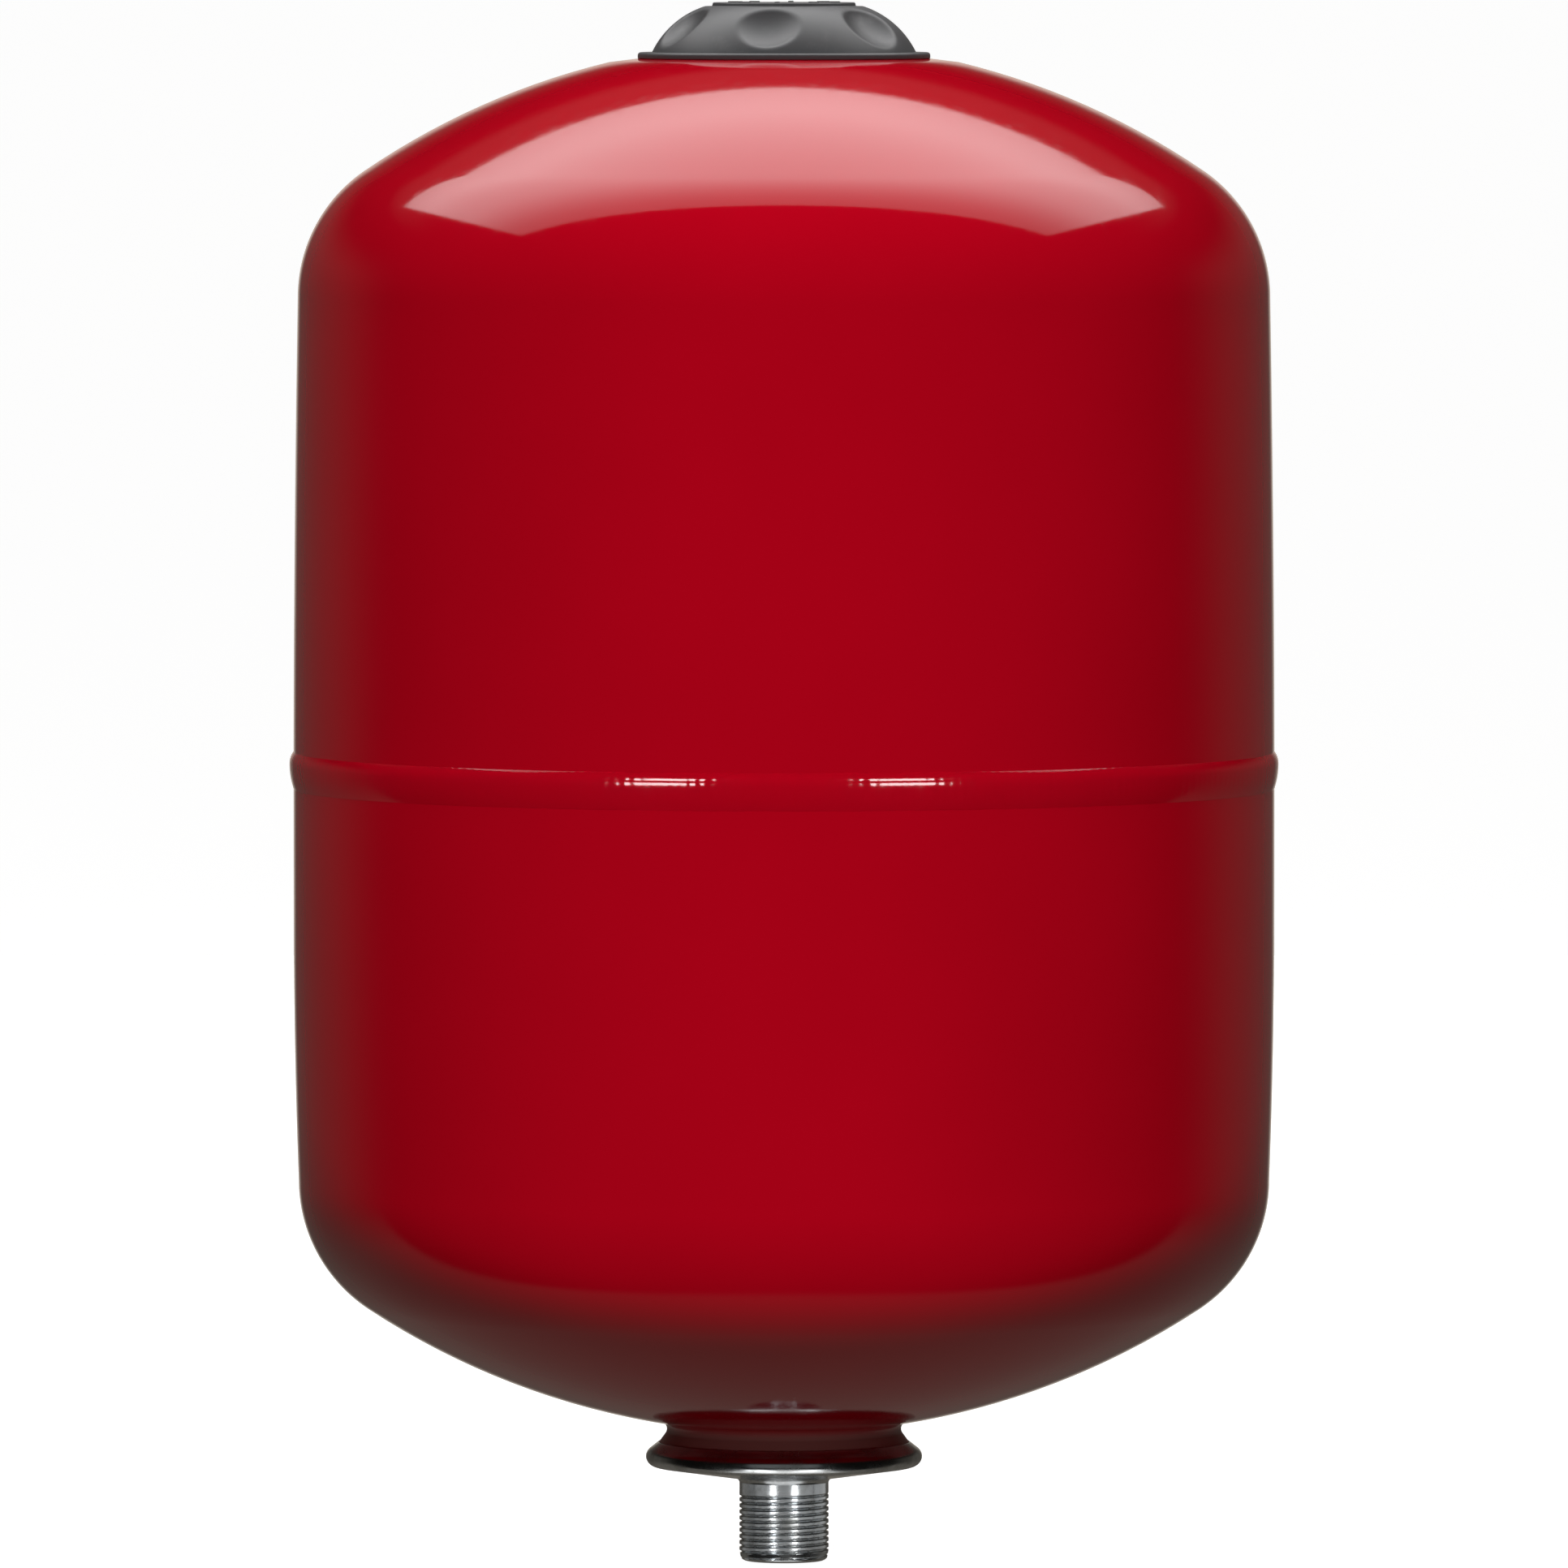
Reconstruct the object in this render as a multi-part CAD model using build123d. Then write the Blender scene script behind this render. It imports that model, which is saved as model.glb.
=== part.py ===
from build123d import *
from math import acos, asin, atan2, cos, degrees, hypot, radians, sin, sqrt, tan
import os

# Expansion vessel for a heating circuit: two pressed steel shells joined by a girth weld, a rubber
# bladder clamped in the neck by a crimped plate with a threaded pipe nipple, and a gas charging
# valve in a well on the crown, under a screwed plastic cover.
#
# Lengths are in millimetres. The vessel's axis is Z, and z = 0 is the lower end of the nipple.
# A turned piece is drawn as its section, with points (radius, height), and revolved about Z.

# Shells
SHEET = 1.2
BODY_RADIUS = 145.0
CROWN_RADIUS = 220.0
LOWER_CROWN_RADIUS = 223.5
KNUCKLE_RADIUS = 45.0
KNUCKLE_CENTRE = 98.6
UPPER_KNUCKLE_Z = 374.3
LOWER_KNUCKLE_Z = 113.0
WALL_BULGE = 0.25

# Girth weld, over the lap of the two shells
WELD_TOP_Z = 240.0
WELD_CREST_Z = 236.5
WELD_BOTTOM_Z = 229.0
WELD_CREST = 1.2
UPPER_EDGE_Z = 236.0
JOGGLE_START_Z = 231.5
JOGGLE_END_Z = 235.0
LAP_TOP_Z = 250.0
LAP_GAP = 0.05
STRAIGHT_BOTTOM_Z = 178.0

# Valve well, pressed into a flat land on the crown
LAND_Z = 444.6
WELL_FLOOR_Z = 431.0
WELL_RADIUS = 28.0
WELL_LIP = 4.0
VALVE_HOLE = 6.2

# Neck and its flared collar
NECK_FILLET = 2.2
NECK_FILLET_CENTRE = 36.9
COLLAR_ANGLE = 36.0
COLLAR_LENGTH = 5.85

# Flange plate, whose rim is crimped over the collar
PLATE = 1.5
DISH_ANGLE = 8.45
RIM_CENTRE = 37.95
RIM_Z = 31.0
RIM_RADIUS = 2.95
LIP_ANGLE = 52.0
LIP_LENGTH = 3.6
SPIGOT_RADIUS = 11.5

# Nipple, with a G 3/4 pipe thread: 14 threads per inch
NIPPLE_RADIUS = 13.2
NIPPLE_BORE = 9.75
PIPE_CREST = 13.2205
PIPE_ROOT = 12.0585
PIPE_PITCH = 25.4 / 14
THREAD_TOP_Z = 20.4
SHOULDER_TOP_Z = 23.3
THREAD_START_Z = 2.6
END_CHAMFER = 1.0

# Bladder
BLADDER_WALL = 2.2
BLADDER_RADIUS = 100.0
BLADDER_NECK = 33.0
BLADDER_CAP_Z = 250.0
BLADDER_SHOULDER_Z = 140.0

# Charging valve
STEM_RADIUS = 4.9
STEM_STEP_Z = 439.6
STEM_TOP_Z = 447.5
VALVE_CREST = 3.85
VALVE_ROOT = 3.40
VALVE_PITCH = 25.4 / 32
NUT_ACROSS_FLATS = 14.0
CORE_BOTTOM_Z = 434.0
CORE_FLOOR_Z = 436.0
PIN_RADIUS = 0.45
PIN_COLLAR_Z = 444.6
DUST_CAP_RADIUS = 5.2
DUST_CAP_BOTTOM_Z = 440.2
DUST_CAP_TOP_Z = 450.6
KNURL_COUNT = 24

# Valve cover and the threaded base it screws on
COVER_WALL = 2.2
COVER_BOTTOM_Z = 444.65
COVER_DISC_Z = 461.2
COVER_SHOULDER_Z = 460.1
COVER_DISC = 21.0
COVER_ARC = 26.35
COVER_ARC_CENTRE = (15.3, 435.0)
BRIM_RADIUS = 43.2
BRIM_TOP_Z = 446.5
FOOT_INNER = 35.2
FOOT_TOP_Z = 447.3
DIMPLES = 6
DIMPLE_SPHERE = 18.0
DIMPLE_DEPTH = 3.5
DIMPLE_TILT = 41.0
DIMPLE_TURN = -98.0
BASE_RADIUS = 22.9
BASE_WALL = 2.0
BASE_TOP_Z = 455.0
COLLAR_BORE = 24.4
COLLAR_WALL = 2.0
COVER_STARTS = 3
COVER_LEAD = 12.0
COVER_RIDGE = 1.2
COVER_RIDGE_Z = 448.5
MARK_RIBS = 8

upper_rise = sqrt((CROWN_RADIUS - KNUCKLE_RADIUS) ** 2 - KNUCKLE_CENTRE**2)
lower_rise = sqrt((LOWER_CROWN_RADIUS - KNUCKLE_RADIUS) ** 2 - KNUCKLE_CENTRE**2)
upper_crown_z = UPPER_KNUCKLE_Z - upper_rise
lower_crown_z = LOWER_KNUCKLE_Z + lower_rise
tangent_angle = degrees(atan2(upper_rise, KNUCKLE_CENTRE))
lower_tangent_angle = degrees(atan2(lower_rise, KNUCKLE_CENTRE))


def turned(pieces):
    """Revolve the closed outline that the given lines and arcs make."""
    edges = [edge for piece in pieces for edge in piece.edges()]
    return revolve(Plane.XZ * make_face(edges), Axis.Z)


def turned_polygon(*points):
    """Revolve a straight-sided section."""
    return turned([Polyline(*points, close=True)])


def ring(inner, outer, bottom, top):
    """A plain ring with a rectangular section."""
    return turned_polygon((inner, bottom), (outer, bottom), (outer, top), (inner, top))


def arc(centre, radius, start, end):
    """An arc about a centre, between two angles counted from the outward direction."""
    return CenterArc(centre, radius, start, end - start)


def at_angle(centre, radius, angle):
    """The point on a circle at an angle."""
    return (centre[0] + radius * cos(radians(angle)), centre[1] + radius * sin(radians(angle)))


def along(point, angle, distance):
    """A point moved some distance in a direction."""
    return at_angle(point, distance, angle)


def wall_arc(inset, straight_z, knuckle_z):
    """The slightly bulged wall, from its straight stretch to the knuckle."""
    low = (BODY_RADIUS - inset, straight_z)
    high = (KNUCKLE_CENTRE + KNUCKLE_RADIUS - inset, knuckle_z)
    middle = ((low[0] + high[0]) / 2 + WALL_BULGE, (low[1] + high[1]) / 2)
    return ThreePointArc(low, middle, high)


def thread_ridge(root, tip, root_width, tip_width, lead, bottom_z, turns, turn=0.0):
    """A right-hand helical ridge. Its foot reaches 0.15 mm into the wall that carries it."""
    foot = root - 0.15 if tip > root else root + 0.15
    half_foot = root_width / 2
    half_tip = tip_width / 2
    outline = Polyline((foot, -half_foot), (tip, -half_tip), (tip, half_tip), (foot, half_foot), close=True)
    path = Helix(lead, lead * turns, root)
    ridge = sweep(Plane.XZ * make_face(outline.edges()), path, is_frenet=True)
    return Pos(0, 0, bottom_z) * Rot(0, 0, turn) * ridge


# Shells and weld


def upper_shell():
    land_edge = sqrt(CROWN_RADIUS**2 - (LAND_Z - upper_crown_z) ** 2)
    inner_crown = CROWN_RADIUS - SHEET
    inner_land_z = LAND_Z - SHEET
    inner_land_edge = sqrt(inner_crown**2 - (inner_land_z - upper_crown_z) ** 2)
    crown = (0, upper_crown_z)
    knuckle = (KNUCKLE_CENTRE, UPPER_KNUCKLE_Z)
    bore = BODY_RADIUS - SHEET
    well_bore = WELL_RADIUS + SHEET
    under_floor = WELL_FLOOR_Z - SHEET
    outer_well = FilletPolyline(
        (VALVE_HOLE, WELL_FLOOR_Z), (WELL_RADIUS, WELL_FLOOR_Z), (WELL_RADIUS, LAND_Z),
        (land_edge, LAND_Z), radius=[WELL_LIP, WELL_LIP])
    inner_well = FilletPolyline(
        (inner_land_edge, inner_land_z), (well_bore, inner_land_z), (well_bore, under_floor),
        (VALVE_HOLE, under_floor), radius=[WELL_LIP - SHEET, WELL_LIP + SHEET])
    return turned([
        outer_well,
        arc(crown, CROWN_RADIUS, degrees(acos(land_edge / CROWN_RADIUS)), tangent_angle),
        arc(knuckle, KNUCKLE_RADIUS, tangent_angle, 0),
        wall_arc(0, WELD_TOP_Z, UPPER_KNUCKLE_Z),
        Polyline((BODY_RADIUS, WELD_TOP_Z), (BODY_RADIUS, UPPER_EDGE_Z), (bore, UPPER_EDGE_Z), (bore, WELD_TOP_Z)),
        wall_arc(SHEET, WELD_TOP_Z, UPPER_KNUCKLE_Z),
        arc(knuckle, KNUCKLE_RADIUS - SHEET, 0, tangent_angle),
        arc(crown, inner_crown, tangent_angle, degrees(acos(inner_land_edge / inner_crown))),
        inner_well,
        Line((VALVE_HOLE, under_floor), (VALVE_HOLE, WELL_FLOOR_Z)),
    ])


neck_drop = sqrt((LOWER_CROWN_RADIUS + NECK_FILLET) ** 2 - NECK_FILLET_CENTRE**2)
neck_centre = (NECK_FILLET_CENTRE, lower_crown_z - neck_drop)
neck_angle = degrees(atan2(neck_drop, -NECK_FILLET_CENTRE))
collar_normal = 180 + COLLAR_ANGLE
collar_run = 270 + COLLAR_ANGLE
collar_top = at_angle(neck_centre, NECK_FILLET, collar_normal)
collar_end = along(collar_top, collar_run, COLLAR_LENGTH)
collar_under_top = at_angle(neck_centre, NECK_FILLET + SHEET, collar_normal)
collar_under_end = along(collar_under_top, collar_run, COLLAR_LENGTH)


def lower_shell():
    crown = (0, lower_crown_z)
    knuckle = (KNUCKLE_CENTRE, LOWER_KNUCKLE_Z)
    bore = BODY_RADIUS - SHEET
    lap = bore - LAP_GAP
    joggle = Polyline(
        (BODY_RADIUS, STRAIGHT_BOTTOM_Z), (BODY_RADIUS, WELD_BOTTOM_Z), (BODY_RADIUS - 0.2, JOGGLE_START_Z),
        (lap, JOGGLE_END_Z), (lap, LAP_TOP_Z), (lap - SHEET, LAP_TOP_Z), (lap - SHEET, JOGGLE_END_Z - 0.6),
        (bore - 0.2, JOGGLE_START_Z - 0.6), (bore, WELD_BOTTOM_Z), (bore, STRAIGHT_BOTTOM_Z))
    return turned([
        joggle,
        wall_arc(SHEET, STRAIGHT_BOTTOM_Z, LOWER_KNUCKLE_Z),
        arc(knuckle, KNUCKLE_RADIUS - SHEET, 0, -lower_tangent_angle),
        arc(crown, LOWER_CROWN_RADIUS - SHEET, -lower_tangent_angle, neck_angle - 180),
        arc(neck_centre, NECK_FILLET + SHEET, neck_angle, collar_normal),
        Polyline(collar_under_top, collar_under_end, collar_end, collar_top),
        arc(neck_centre, NECK_FILLET, collar_normal, neck_angle),
        arc(crown, LOWER_CROWN_RADIUS, neck_angle - 180, -lower_tangent_angle),
        arc(knuckle, KNUCKLE_RADIUS, -lower_tangent_angle, 0),
        wall_arc(0, STRAIGHT_BOTTOM_Z, LOWER_KNUCKLE_Z),
    ])


def weld_arc(run):
    """Half of the bead's outside, from the crest down or up to the shell. Returns centre, radius, angle."""
    radius = (WELD_CREST**2 + run**2) / (2 * WELD_CREST)
    centre = (BODY_RADIUS + WELD_CREST - radius, WELD_CREST_Z)
    return centre, radius, degrees(asin(run / radius))


def girth_weld():
    lap = BODY_RADIUS - SHEET - LAP_GAP
    above, above_radius, above_angle = weld_arc(WELD_TOP_Z - WELD_CREST_Z)
    below, below_radius, below_angle = weld_arc(WELD_CREST_Z - WELD_BOTTOM_Z)
    root = Polyline(
        (BODY_RADIUS, WELD_BOTTOM_Z), (BODY_RADIUS - 0.2, JOGGLE_START_Z), (lap, JOGGLE_END_Z),
        (lap, UPPER_EDGE_Z), (BODY_RADIUS, UPPER_EDGE_Z), (BODY_RADIUS, WELD_TOP_Z))
    return turned([root, arc(above, above_radius, above_angle, 0), arc(below, below_radius, 0, -below_angle)])


# Neck, plate, nipple and bladder

rim_centre = (RIM_CENTRE, RIM_Z)
dish_normal = DISH_ANGLE - 90


def plate_under(radius):
    """Height of the plate's dished underside at a radius."""
    foot = at_angle(rim_centre, RIM_RADIUS, dish_normal)
    return foot[1] - (foot[0] - radius) * tan(radians(DISH_ANGLE))


def plate_top(radius):
    """Height of the plate's upper face at a radius."""
    return plate_under(radius) + PLATE / cos(radians(DISH_ANGLE))


def flange_plate():
    rim_bore = RIM_RADIUS - PLATE
    lip_foot = at_angle(rim_centre, RIM_RADIUS, LIP_ANGLE)
    lip_end = along(lip_foot, LIP_ANGLE + 90, LIP_LENGTH)
    clear = 0.04
    collar_side = along(collar_end, COLLAR_ANGLE, clear)
    lip_under = along(collar_side, collar_run + 180, COLLAR_LENGTH * 0.45)
    return turned([
        Line((SPIGOT_RADIUS, plate_under(SPIGOT_RADIUS)), at_angle(rim_centre, RIM_RADIUS, dish_normal)),
        arc(rim_centre, RIM_RADIUS, dish_normal, LIP_ANGLE),
        Polyline(lip_foot, lip_end, lip_under, collar_side, (RIM_CENTRE + rim_bore, RIM_Z + 1.0),
                 (RIM_CENTRE + rim_bore, RIM_Z)),
        arc(rim_centre, rim_bore, 0, dish_normal),
        Polyline(at_angle(rim_centre, rim_bore, dish_normal), (SPIGOT_RADIUS, plate_top(SPIGOT_RADIUS)),
                 (SPIGOT_RADIUS, plate_under(SPIGOT_RADIUS))),
    ])


def threaded_nipple():
    top = plate_top(SPIGOT_RADIUS) + 0.6
    seat = plate_under(SPIGOT_RADIUS)
    core = turned_polygon(
        (NIPPLE_BORE, 0.4), (NIPPLE_BORE + 0.4, 0), (PIPE_ROOT - END_CHAMFER, 0), (PIPE_ROOT, END_CHAMFER),
        (PIPE_ROOT, THREAD_TOP_Z), (NIPPLE_RADIUS, THREAD_TOP_Z), (NIPPLE_RADIUS, SHOULDER_TOP_Z),
        (NIPPLE_RADIUS - 0.7, seat), (SPIGOT_RADIUS, seat), (SPIGOT_RADIUS, top), (NIPPLE_BORE, top))
    turns = (THREAD_TOP_Z - THREAD_START_Z - PIPE_PITCH / 2) / PIPE_PITCH
    ridge = thread_ridge(PIPE_ROOT, PIPE_CREST, PIPE_PITCH * 0.86, PIPE_PITCH * 0.16, PIPE_PITCH,
                         THREAD_START_Z, turns)
    return core + ridge


def nipple_weld():
    seat = plate_under(SPIGOT_RADIUS)
    foot = NIPPLE_RADIUS - 0.7
    edge = NIPPLE_RADIUS + 0.8
    return turned_polygon(
        (NIPPLE_RADIUS, SHOULDER_TOP_Z), (NIPPLE_RADIUS + 0.15, SHOULDER_TOP_Z + 0.4),
        (edge, plate_under(edge)), (foot, plate_under(foot)), (foot, seat))


def bladder():
    gap = 0.05
    neck_bore = BLADDER_NECK - BLADDER_WALL
    bead = RIM_RADIUS - PLATE - gap
    cap_centre = (0, BLADDER_CAP_Z)
    inner_radius = BLADDER_RADIUS - BLADDER_WALL
    shoulder_top = (BLADDER_RADIUS, BLADDER_SHOULDER_Z)
    neck_top = (BLADDER_NECK, neck_centre[1] + 10)
    inner_neck_top = (neck_bore, neck_centre[1] + 11)
    lip = Polyline(
        (neck_bore, plate_top(neck_bore) + gap), at_angle(rim_centre, bead, dish_normal))
    bead_top = Polyline(
        (RIM_CENTRE + bead, RIM_Z), (RIM_CENTRE + bead, RIM_Z + 0.9), along(collar_end, collar_run, 2 * gap),
        along(along(collar_under_end, collar_run, 2 * gap), collar_normal, gap),
        along(collar_under_top, collar_normal, gap), (BLADDER_NECK, neck_centre[1]), neck_top)
    return turned([
        lip,
        arc(rim_centre, bead, dish_normal, 0),
        bead_top,
        ThreePointArc(neck_top, (BLADDER_RADIUS * 0.80, BLADDER_SHOULDER_Z - 60), shoulder_top),
        Line(shoulder_top, (BLADDER_RADIUS, BLADDER_CAP_Z)),
        arc(cap_centre, BLADDER_RADIUS, 0, 90),
        Line((0, BLADDER_CAP_Z + BLADDER_RADIUS), (0, BLADDER_CAP_Z + inner_radius)),
        arc(cap_centre, inner_radius, 90, 0),
        Line((inner_radius, BLADDER_CAP_Z), (inner_radius, BLADDER_SHOULDER_Z)),
        ThreePointArc((inner_radius, BLADDER_SHOULDER_Z), (BLADDER_RADIUS * 0.80 - 1.8, BLADDER_SHOULDER_Z - 58.6),
                      inner_neck_top),
        Line(inner_neck_top, (neck_bore, plate_top(neck_bore) + gap)),
    ])


# Charging valve

stem_flange_z = WELL_FLOOR_Z - SHEET - 3.3


def valve_stem():
    body = turned_polygon(
        (1.5, stem_flange_z - 2), (9.0, stem_flange_z - 2), (9.0, stem_flange_z), (STEM_RADIUS, stem_flange_z),
        (STEM_RADIUS, STEM_STEP_Z), (VALVE_ROOT, STEM_STEP_Z), (VALVE_ROOT, STEM_TOP_Z - 0.3),
        (VALVE_ROOT - 0.3, STEM_TOP_Z), (2.55, STEM_TOP_Z), (2.55, CORE_FLOOR_Z), (2.1, CORE_FLOOR_Z),
        (2.1, 429.0), (1.5, 429.0))
    ridge = thread_ridge(VALVE_ROOT, VALVE_CREST, VALVE_PITCH * 0.62, VALVE_PITCH * 0.16, VALVE_PITCH,
                         STEM_STEP_Z + 1.2, 7)
    return body + ridge


def valve_grommet():
    under_floor = WELL_FLOOR_Z - SHEET
    return turned_polygon(
        (STEM_RADIUS + 0.05, stem_flange_z), (8.6, stem_flange_z), (8.6, under_floor), (VALVE_HOLE - 0.05, under_floor),
        (VALVE_HOLE - 0.05, WELL_FLOOR_Z - 0.1), (STEM_RADIUS + 0.05, WELL_FLOOR_Z - 0.1))


def valve_washer():
    floor = WELL_FLOOR_Z + BASE_WALL
    return ring(STEM_RADIUS + 0.2, 8.8, floor, floor + 1.2)


def valve_nut():
    bottom = WELL_FLOOR_Z + BASE_WALL + 1.2
    height = 4.6
    hexagon = RegularPolygon(NUT_ACROSS_FLATS / 2, 6, major_radius=False)
    blank = extrude(Pos(0, 0, bottom) * hexagon, height)
    corner = NUT_ACROSS_FLATS / 2 / cos(radians(30))
    chamfered = turned_polygon(
        (0, bottom), (corner, bottom), (corner, bottom + height - 0.6), (corner - 1.0, bottom + height),
        (0, bottom + height))
    return (blank & chamfered) - Pos(0, 0, bottom + height / 2) * Cylinder(STEM_RADIUS + 0.05, height + 2)


def core_body():
    return turned_polygon(
        (0.55, CORE_BOTTOM_Z), (2.0, CORE_BOTTOM_Z), (2.0, CORE_FLOOR_Z + 3), (2.5, CORE_FLOOR_Z + 3),
        (2.5, STEM_TOP_Z - 0.9), (1.35, STEM_TOP_Z - 0.9), (1.35, CORE_FLOOR_Z), (0.55, CORE_FLOOR_Z))


def core_seal():
    return turned_polygon(
        (2.03, CORE_FLOOR_Z + 0.4), (2.3, CORE_FLOOR_Z + 0.4), (2.52, CORE_FLOOR_Z + 1.4),
        (2.52, CORE_FLOOR_Z + 2.9), (2.03, CORE_FLOOR_Z + 2.9))


def core_pin():
    rod_bottom = CORE_BOTTOM_Z - 3.4
    rod = turned_polygon(
        (0, rod_bottom), (1.7, rod_bottom), (1.7, CORE_BOTTOM_Z - 1.05), (PIN_RADIUS, CORE_BOTTOM_Z - 1.05),
        (PIN_RADIUS, PIN_COLLAR_Z), (1.2, PIN_COLLAR_Z), (1.2, PIN_COLLAR_Z + 0.6), (PIN_RADIUS, PIN_COLLAR_Z + 0.6),
        (PIN_RADIUS, STEM_TOP_Z - 0.4), (0, STEM_TOP_Z - 0.4))
    return rod


def core_poppet_seal():
    return ring(PIN_RADIUS + 0.02, 1.75, CORE_BOTTOM_Z - 1.03, CORE_BOTTOM_Z - 0.02)


def core_spring():
    wire = 0.14
    mean = 0.85
    coils = 7
    rise = PIN_COLLAR_Z - CORE_FLOOR_Z - 2 * wire - 0.1
    path = Helix(rise / coils, rise, mean)
    section = Plane.XZ * Pos(mean, 0) * Circle(wire)
    return Pos(0, 0, CORE_FLOOR_Z + wire + 0.05) * sweep(section, path, is_frenet=True)


def dust_cap():
    bore = VALVE_CREST + 0.15
    ceiling = STEM_TOP_Z + 1.3
    cup = turned_polygon(
        (bore, DUST_CAP_BOTTOM_Z), (DUST_CAP_RADIUS - 0.4, DUST_CAP_BOTTOM_Z), (DUST_CAP_RADIUS, DUST_CAP_BOTTOM_Z + 0.4),
        (DUST_CAP_RADIUS, DUST_CAP_TOP_Z - 0.6), (DUST_CAP_RADIUS - 0.6, DUST_CAP_TOP_Z), (0, DUST_CAP_TOP_Z),
        (0, ceiling), (bore, ceiling))
    groove = Pos(DUST_CAP_RADIUS + 0.15, 0, (DUST_CAP_BOTTOM_Z + DUST_CAP_TOP_Z) / 2) * Cylinder(0.4, 7.0)
    grooves = [Rot(0, 0, 360 / KNURL_COUNT * index) * groove for index in range(KNURL_COUNT)]
    ridge = thread_ridge(bore, VALVE_ROOT + 0.15, VALVE_PITCH * 0.5, VALVE_PITCH * 0.16, VALVE_PITCH,
                         STEM_STEP_Z + 1.2 + VALVE_PITCH * 1.5, 5)
    return cup - grooves + ridge


def dust_cap_seal():
    seal_bottom = STEM_TOP_Z + 0.1
    return turned_polygon((0, seal_bottom), (3.7, seal_bottom), (3.7, seal_bottom + 1.1), (0, seal_bottom + 1.1))


# Valve cover


def cover_ridges(root, tip, bottom_z, first_turn, turns):
    """One ridge for each start of the cover's thread."""
    return [
        thread_ridge(root, tip, 1.3, 0.9, COVER_LEAD, bottom_z, turns, first_turn + 360 / COVER_STARTS * index)
        for index in range(COVER_STARTS)
    ]


def cover_base():
    cup = turned_polygon(
        (STEM_RADIUS + 0.2, WELL_FLOOR_Z), (BASE_RADIUS - 1.5, WELL_FLOOR_Z), (BASE_RADIUS, WELL_FLOOR_Z + 1.5),
        (BASE_RADIUS, BASE_TOP_Z), (BASE_RADIUS - BASE_WALL, BASE_TOP_Z),
        (BASE_RADIUS - BASE_WALL, WELL_FLOOR_Z + BASE_WALL), (STEM_RADIUS + 0.2, WELL_FLOOR_Z + BASE_WALL))
    return cup + cover_ridges(BASE_RADIUS, BASE_RADIUS + COVER_RIDGE, COVER_RIDGE_Z, 0, 0.33)


def dimple_spheres(radius):
    """Balls that press the finger dimples into the cover."""
    reach = COVER_ARC - DIMPLE_DEPTH + DIMPLE_SPHERE
    out = COVER_ARC_CENTRE[0] + reach * sin(radians(DIMPLE_TILT))
    height = COVER_ARC_CENTRE[1] + reach * cos(radians(DIMPLE_TILT))
    ball = Pos(out, 0, height) * Sphere(radius)
    return [Rot(0, 0, DIMPLE_TURN + 360 / DIMPLES * index) * ball for index in range(DIMPLES)]


def valve_cover():
    centre_radius, centre_z = COVER_ARC_CENTRE
    shoulder = centre_radius + sqrt(COVER_ARC**2 - (COVER_SHOULDER_Z - centre_z) ** 2)
    brim_start = centre_radius + sqrt(COVER_ARC**2 - (BRIM_TOP_Z - centre_z) ** 2)
    inner_arc = COVER_ARC - COVER_WALL
    ceiling = COVER_DISC_Z - COVER_WALL
    foot_edge = centre_radius + sqrt(inner_arc**2 - (FOOT_TOP_Z - centre_z) ** 2)
    outside = turned([
        FilletPolyline((0, COVER_DISC_Z), (COVER_DISC, COVER_DISC_Z), (COVER_DISC + 0.3, COVER_SHOULDER_Z),
                       (shoulder, COVER_SHOULDER_Z), radius=[0.5, 0.2]),
        arc(COVER_ARC_CENTRE, COVER_ARC, degrees(asin((COVER_SHOULDER_Z - centre_z) / COVER_ARC)),
            degrees(asin((BRIM_TOP_Z - centre_z) / COVER_ARC))),
        FilletPolyline((brim_start, BRIM_TOP_Z), (BRIM_RADIUS, BRIM_TOP_Z), (BRIM_RADIUS, COVER_BOTTOM_Z),
                       (0, COVER_BOTTOM_Z), radius=[0.9, 0.2]),
        Line((0, COVER_BOTTOM_Z), (0, COVER_DISC_Z)),
    ])
    hollow = turned([
        Polyline((0, COVER_BOTTOM_Z - 1), (FOOT_INNER, COVER_BOTTOM_Z - 1), (FOOT_INNER, FOOT_TOP_Z),
                 (foot_edge, FOOT_TOP_Z)),
        arc(COVER_ARC_CENTRE, inner_arc, degrees(asin((FOOT_TOP_Z - centre_z) / inner_arc)),
            degrees(asin((ceiling - centre_z) / inner_arc))),
        Polyline((centre_radius + sqrt(inner_arc**2 - (ceiling - centre_z) ** 2), ceiling), (0, ceiling),
                 (0, COVER_BOTTOM_Z - 1)),
    ])
    cover = outside - (hollow - dimple_spheres(DIMPLE_SPHERE + COVER_WALL)) - dimple_spheres(DIMPLE_SPHERE)
    cover = cover - ring(36.1, 38.9, COVER_BOTTOM_Z - 1, COVER_BOTTOM_Z + 1.6)
    cover = cover + ring(COLLAR_BORE, COLLAR_BORE + COLLAR_WALL, FOOT_TOP_Z - 1.3, ceiling + 0.5)
    mark = Pos(14.5, 0, COVER_DISC_Z) * Box(4.5, 1.2, 0.7)
    marks = [Rot(0, 0, 360 / MARK_RIBS * index + DIMPLE_TURN) * mark for index in range(MARK_RIBS)]
    ridges = cover_ridges(COLLAR_BORE, COLLAR_BORE - COVER_RIDGE, COVER_RIDGE_Z - 1.6 + COVER_LEAD / 36, 10, 0.28)
    return cover + marks + ridges


def cover_gasket():
    return ring(36.2, 38.8, COVER_BOTTOM_Z - 0.02, COVER_BOTTOM_Z + 1.5)


PIECES = [
    upper_shell, lower_shell, girth_weld, flange_plate, threaded_nipple, nipple_weld, bladder,
    valve_stem, valve_grommet, valve_washer, valve_nut, core_body, core_seal, core_pin,
    core_poppet_seal, core_spring, dust_cap, dust_cap_seal, cover_base, valve_cover, cover_gasket,
]

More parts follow.
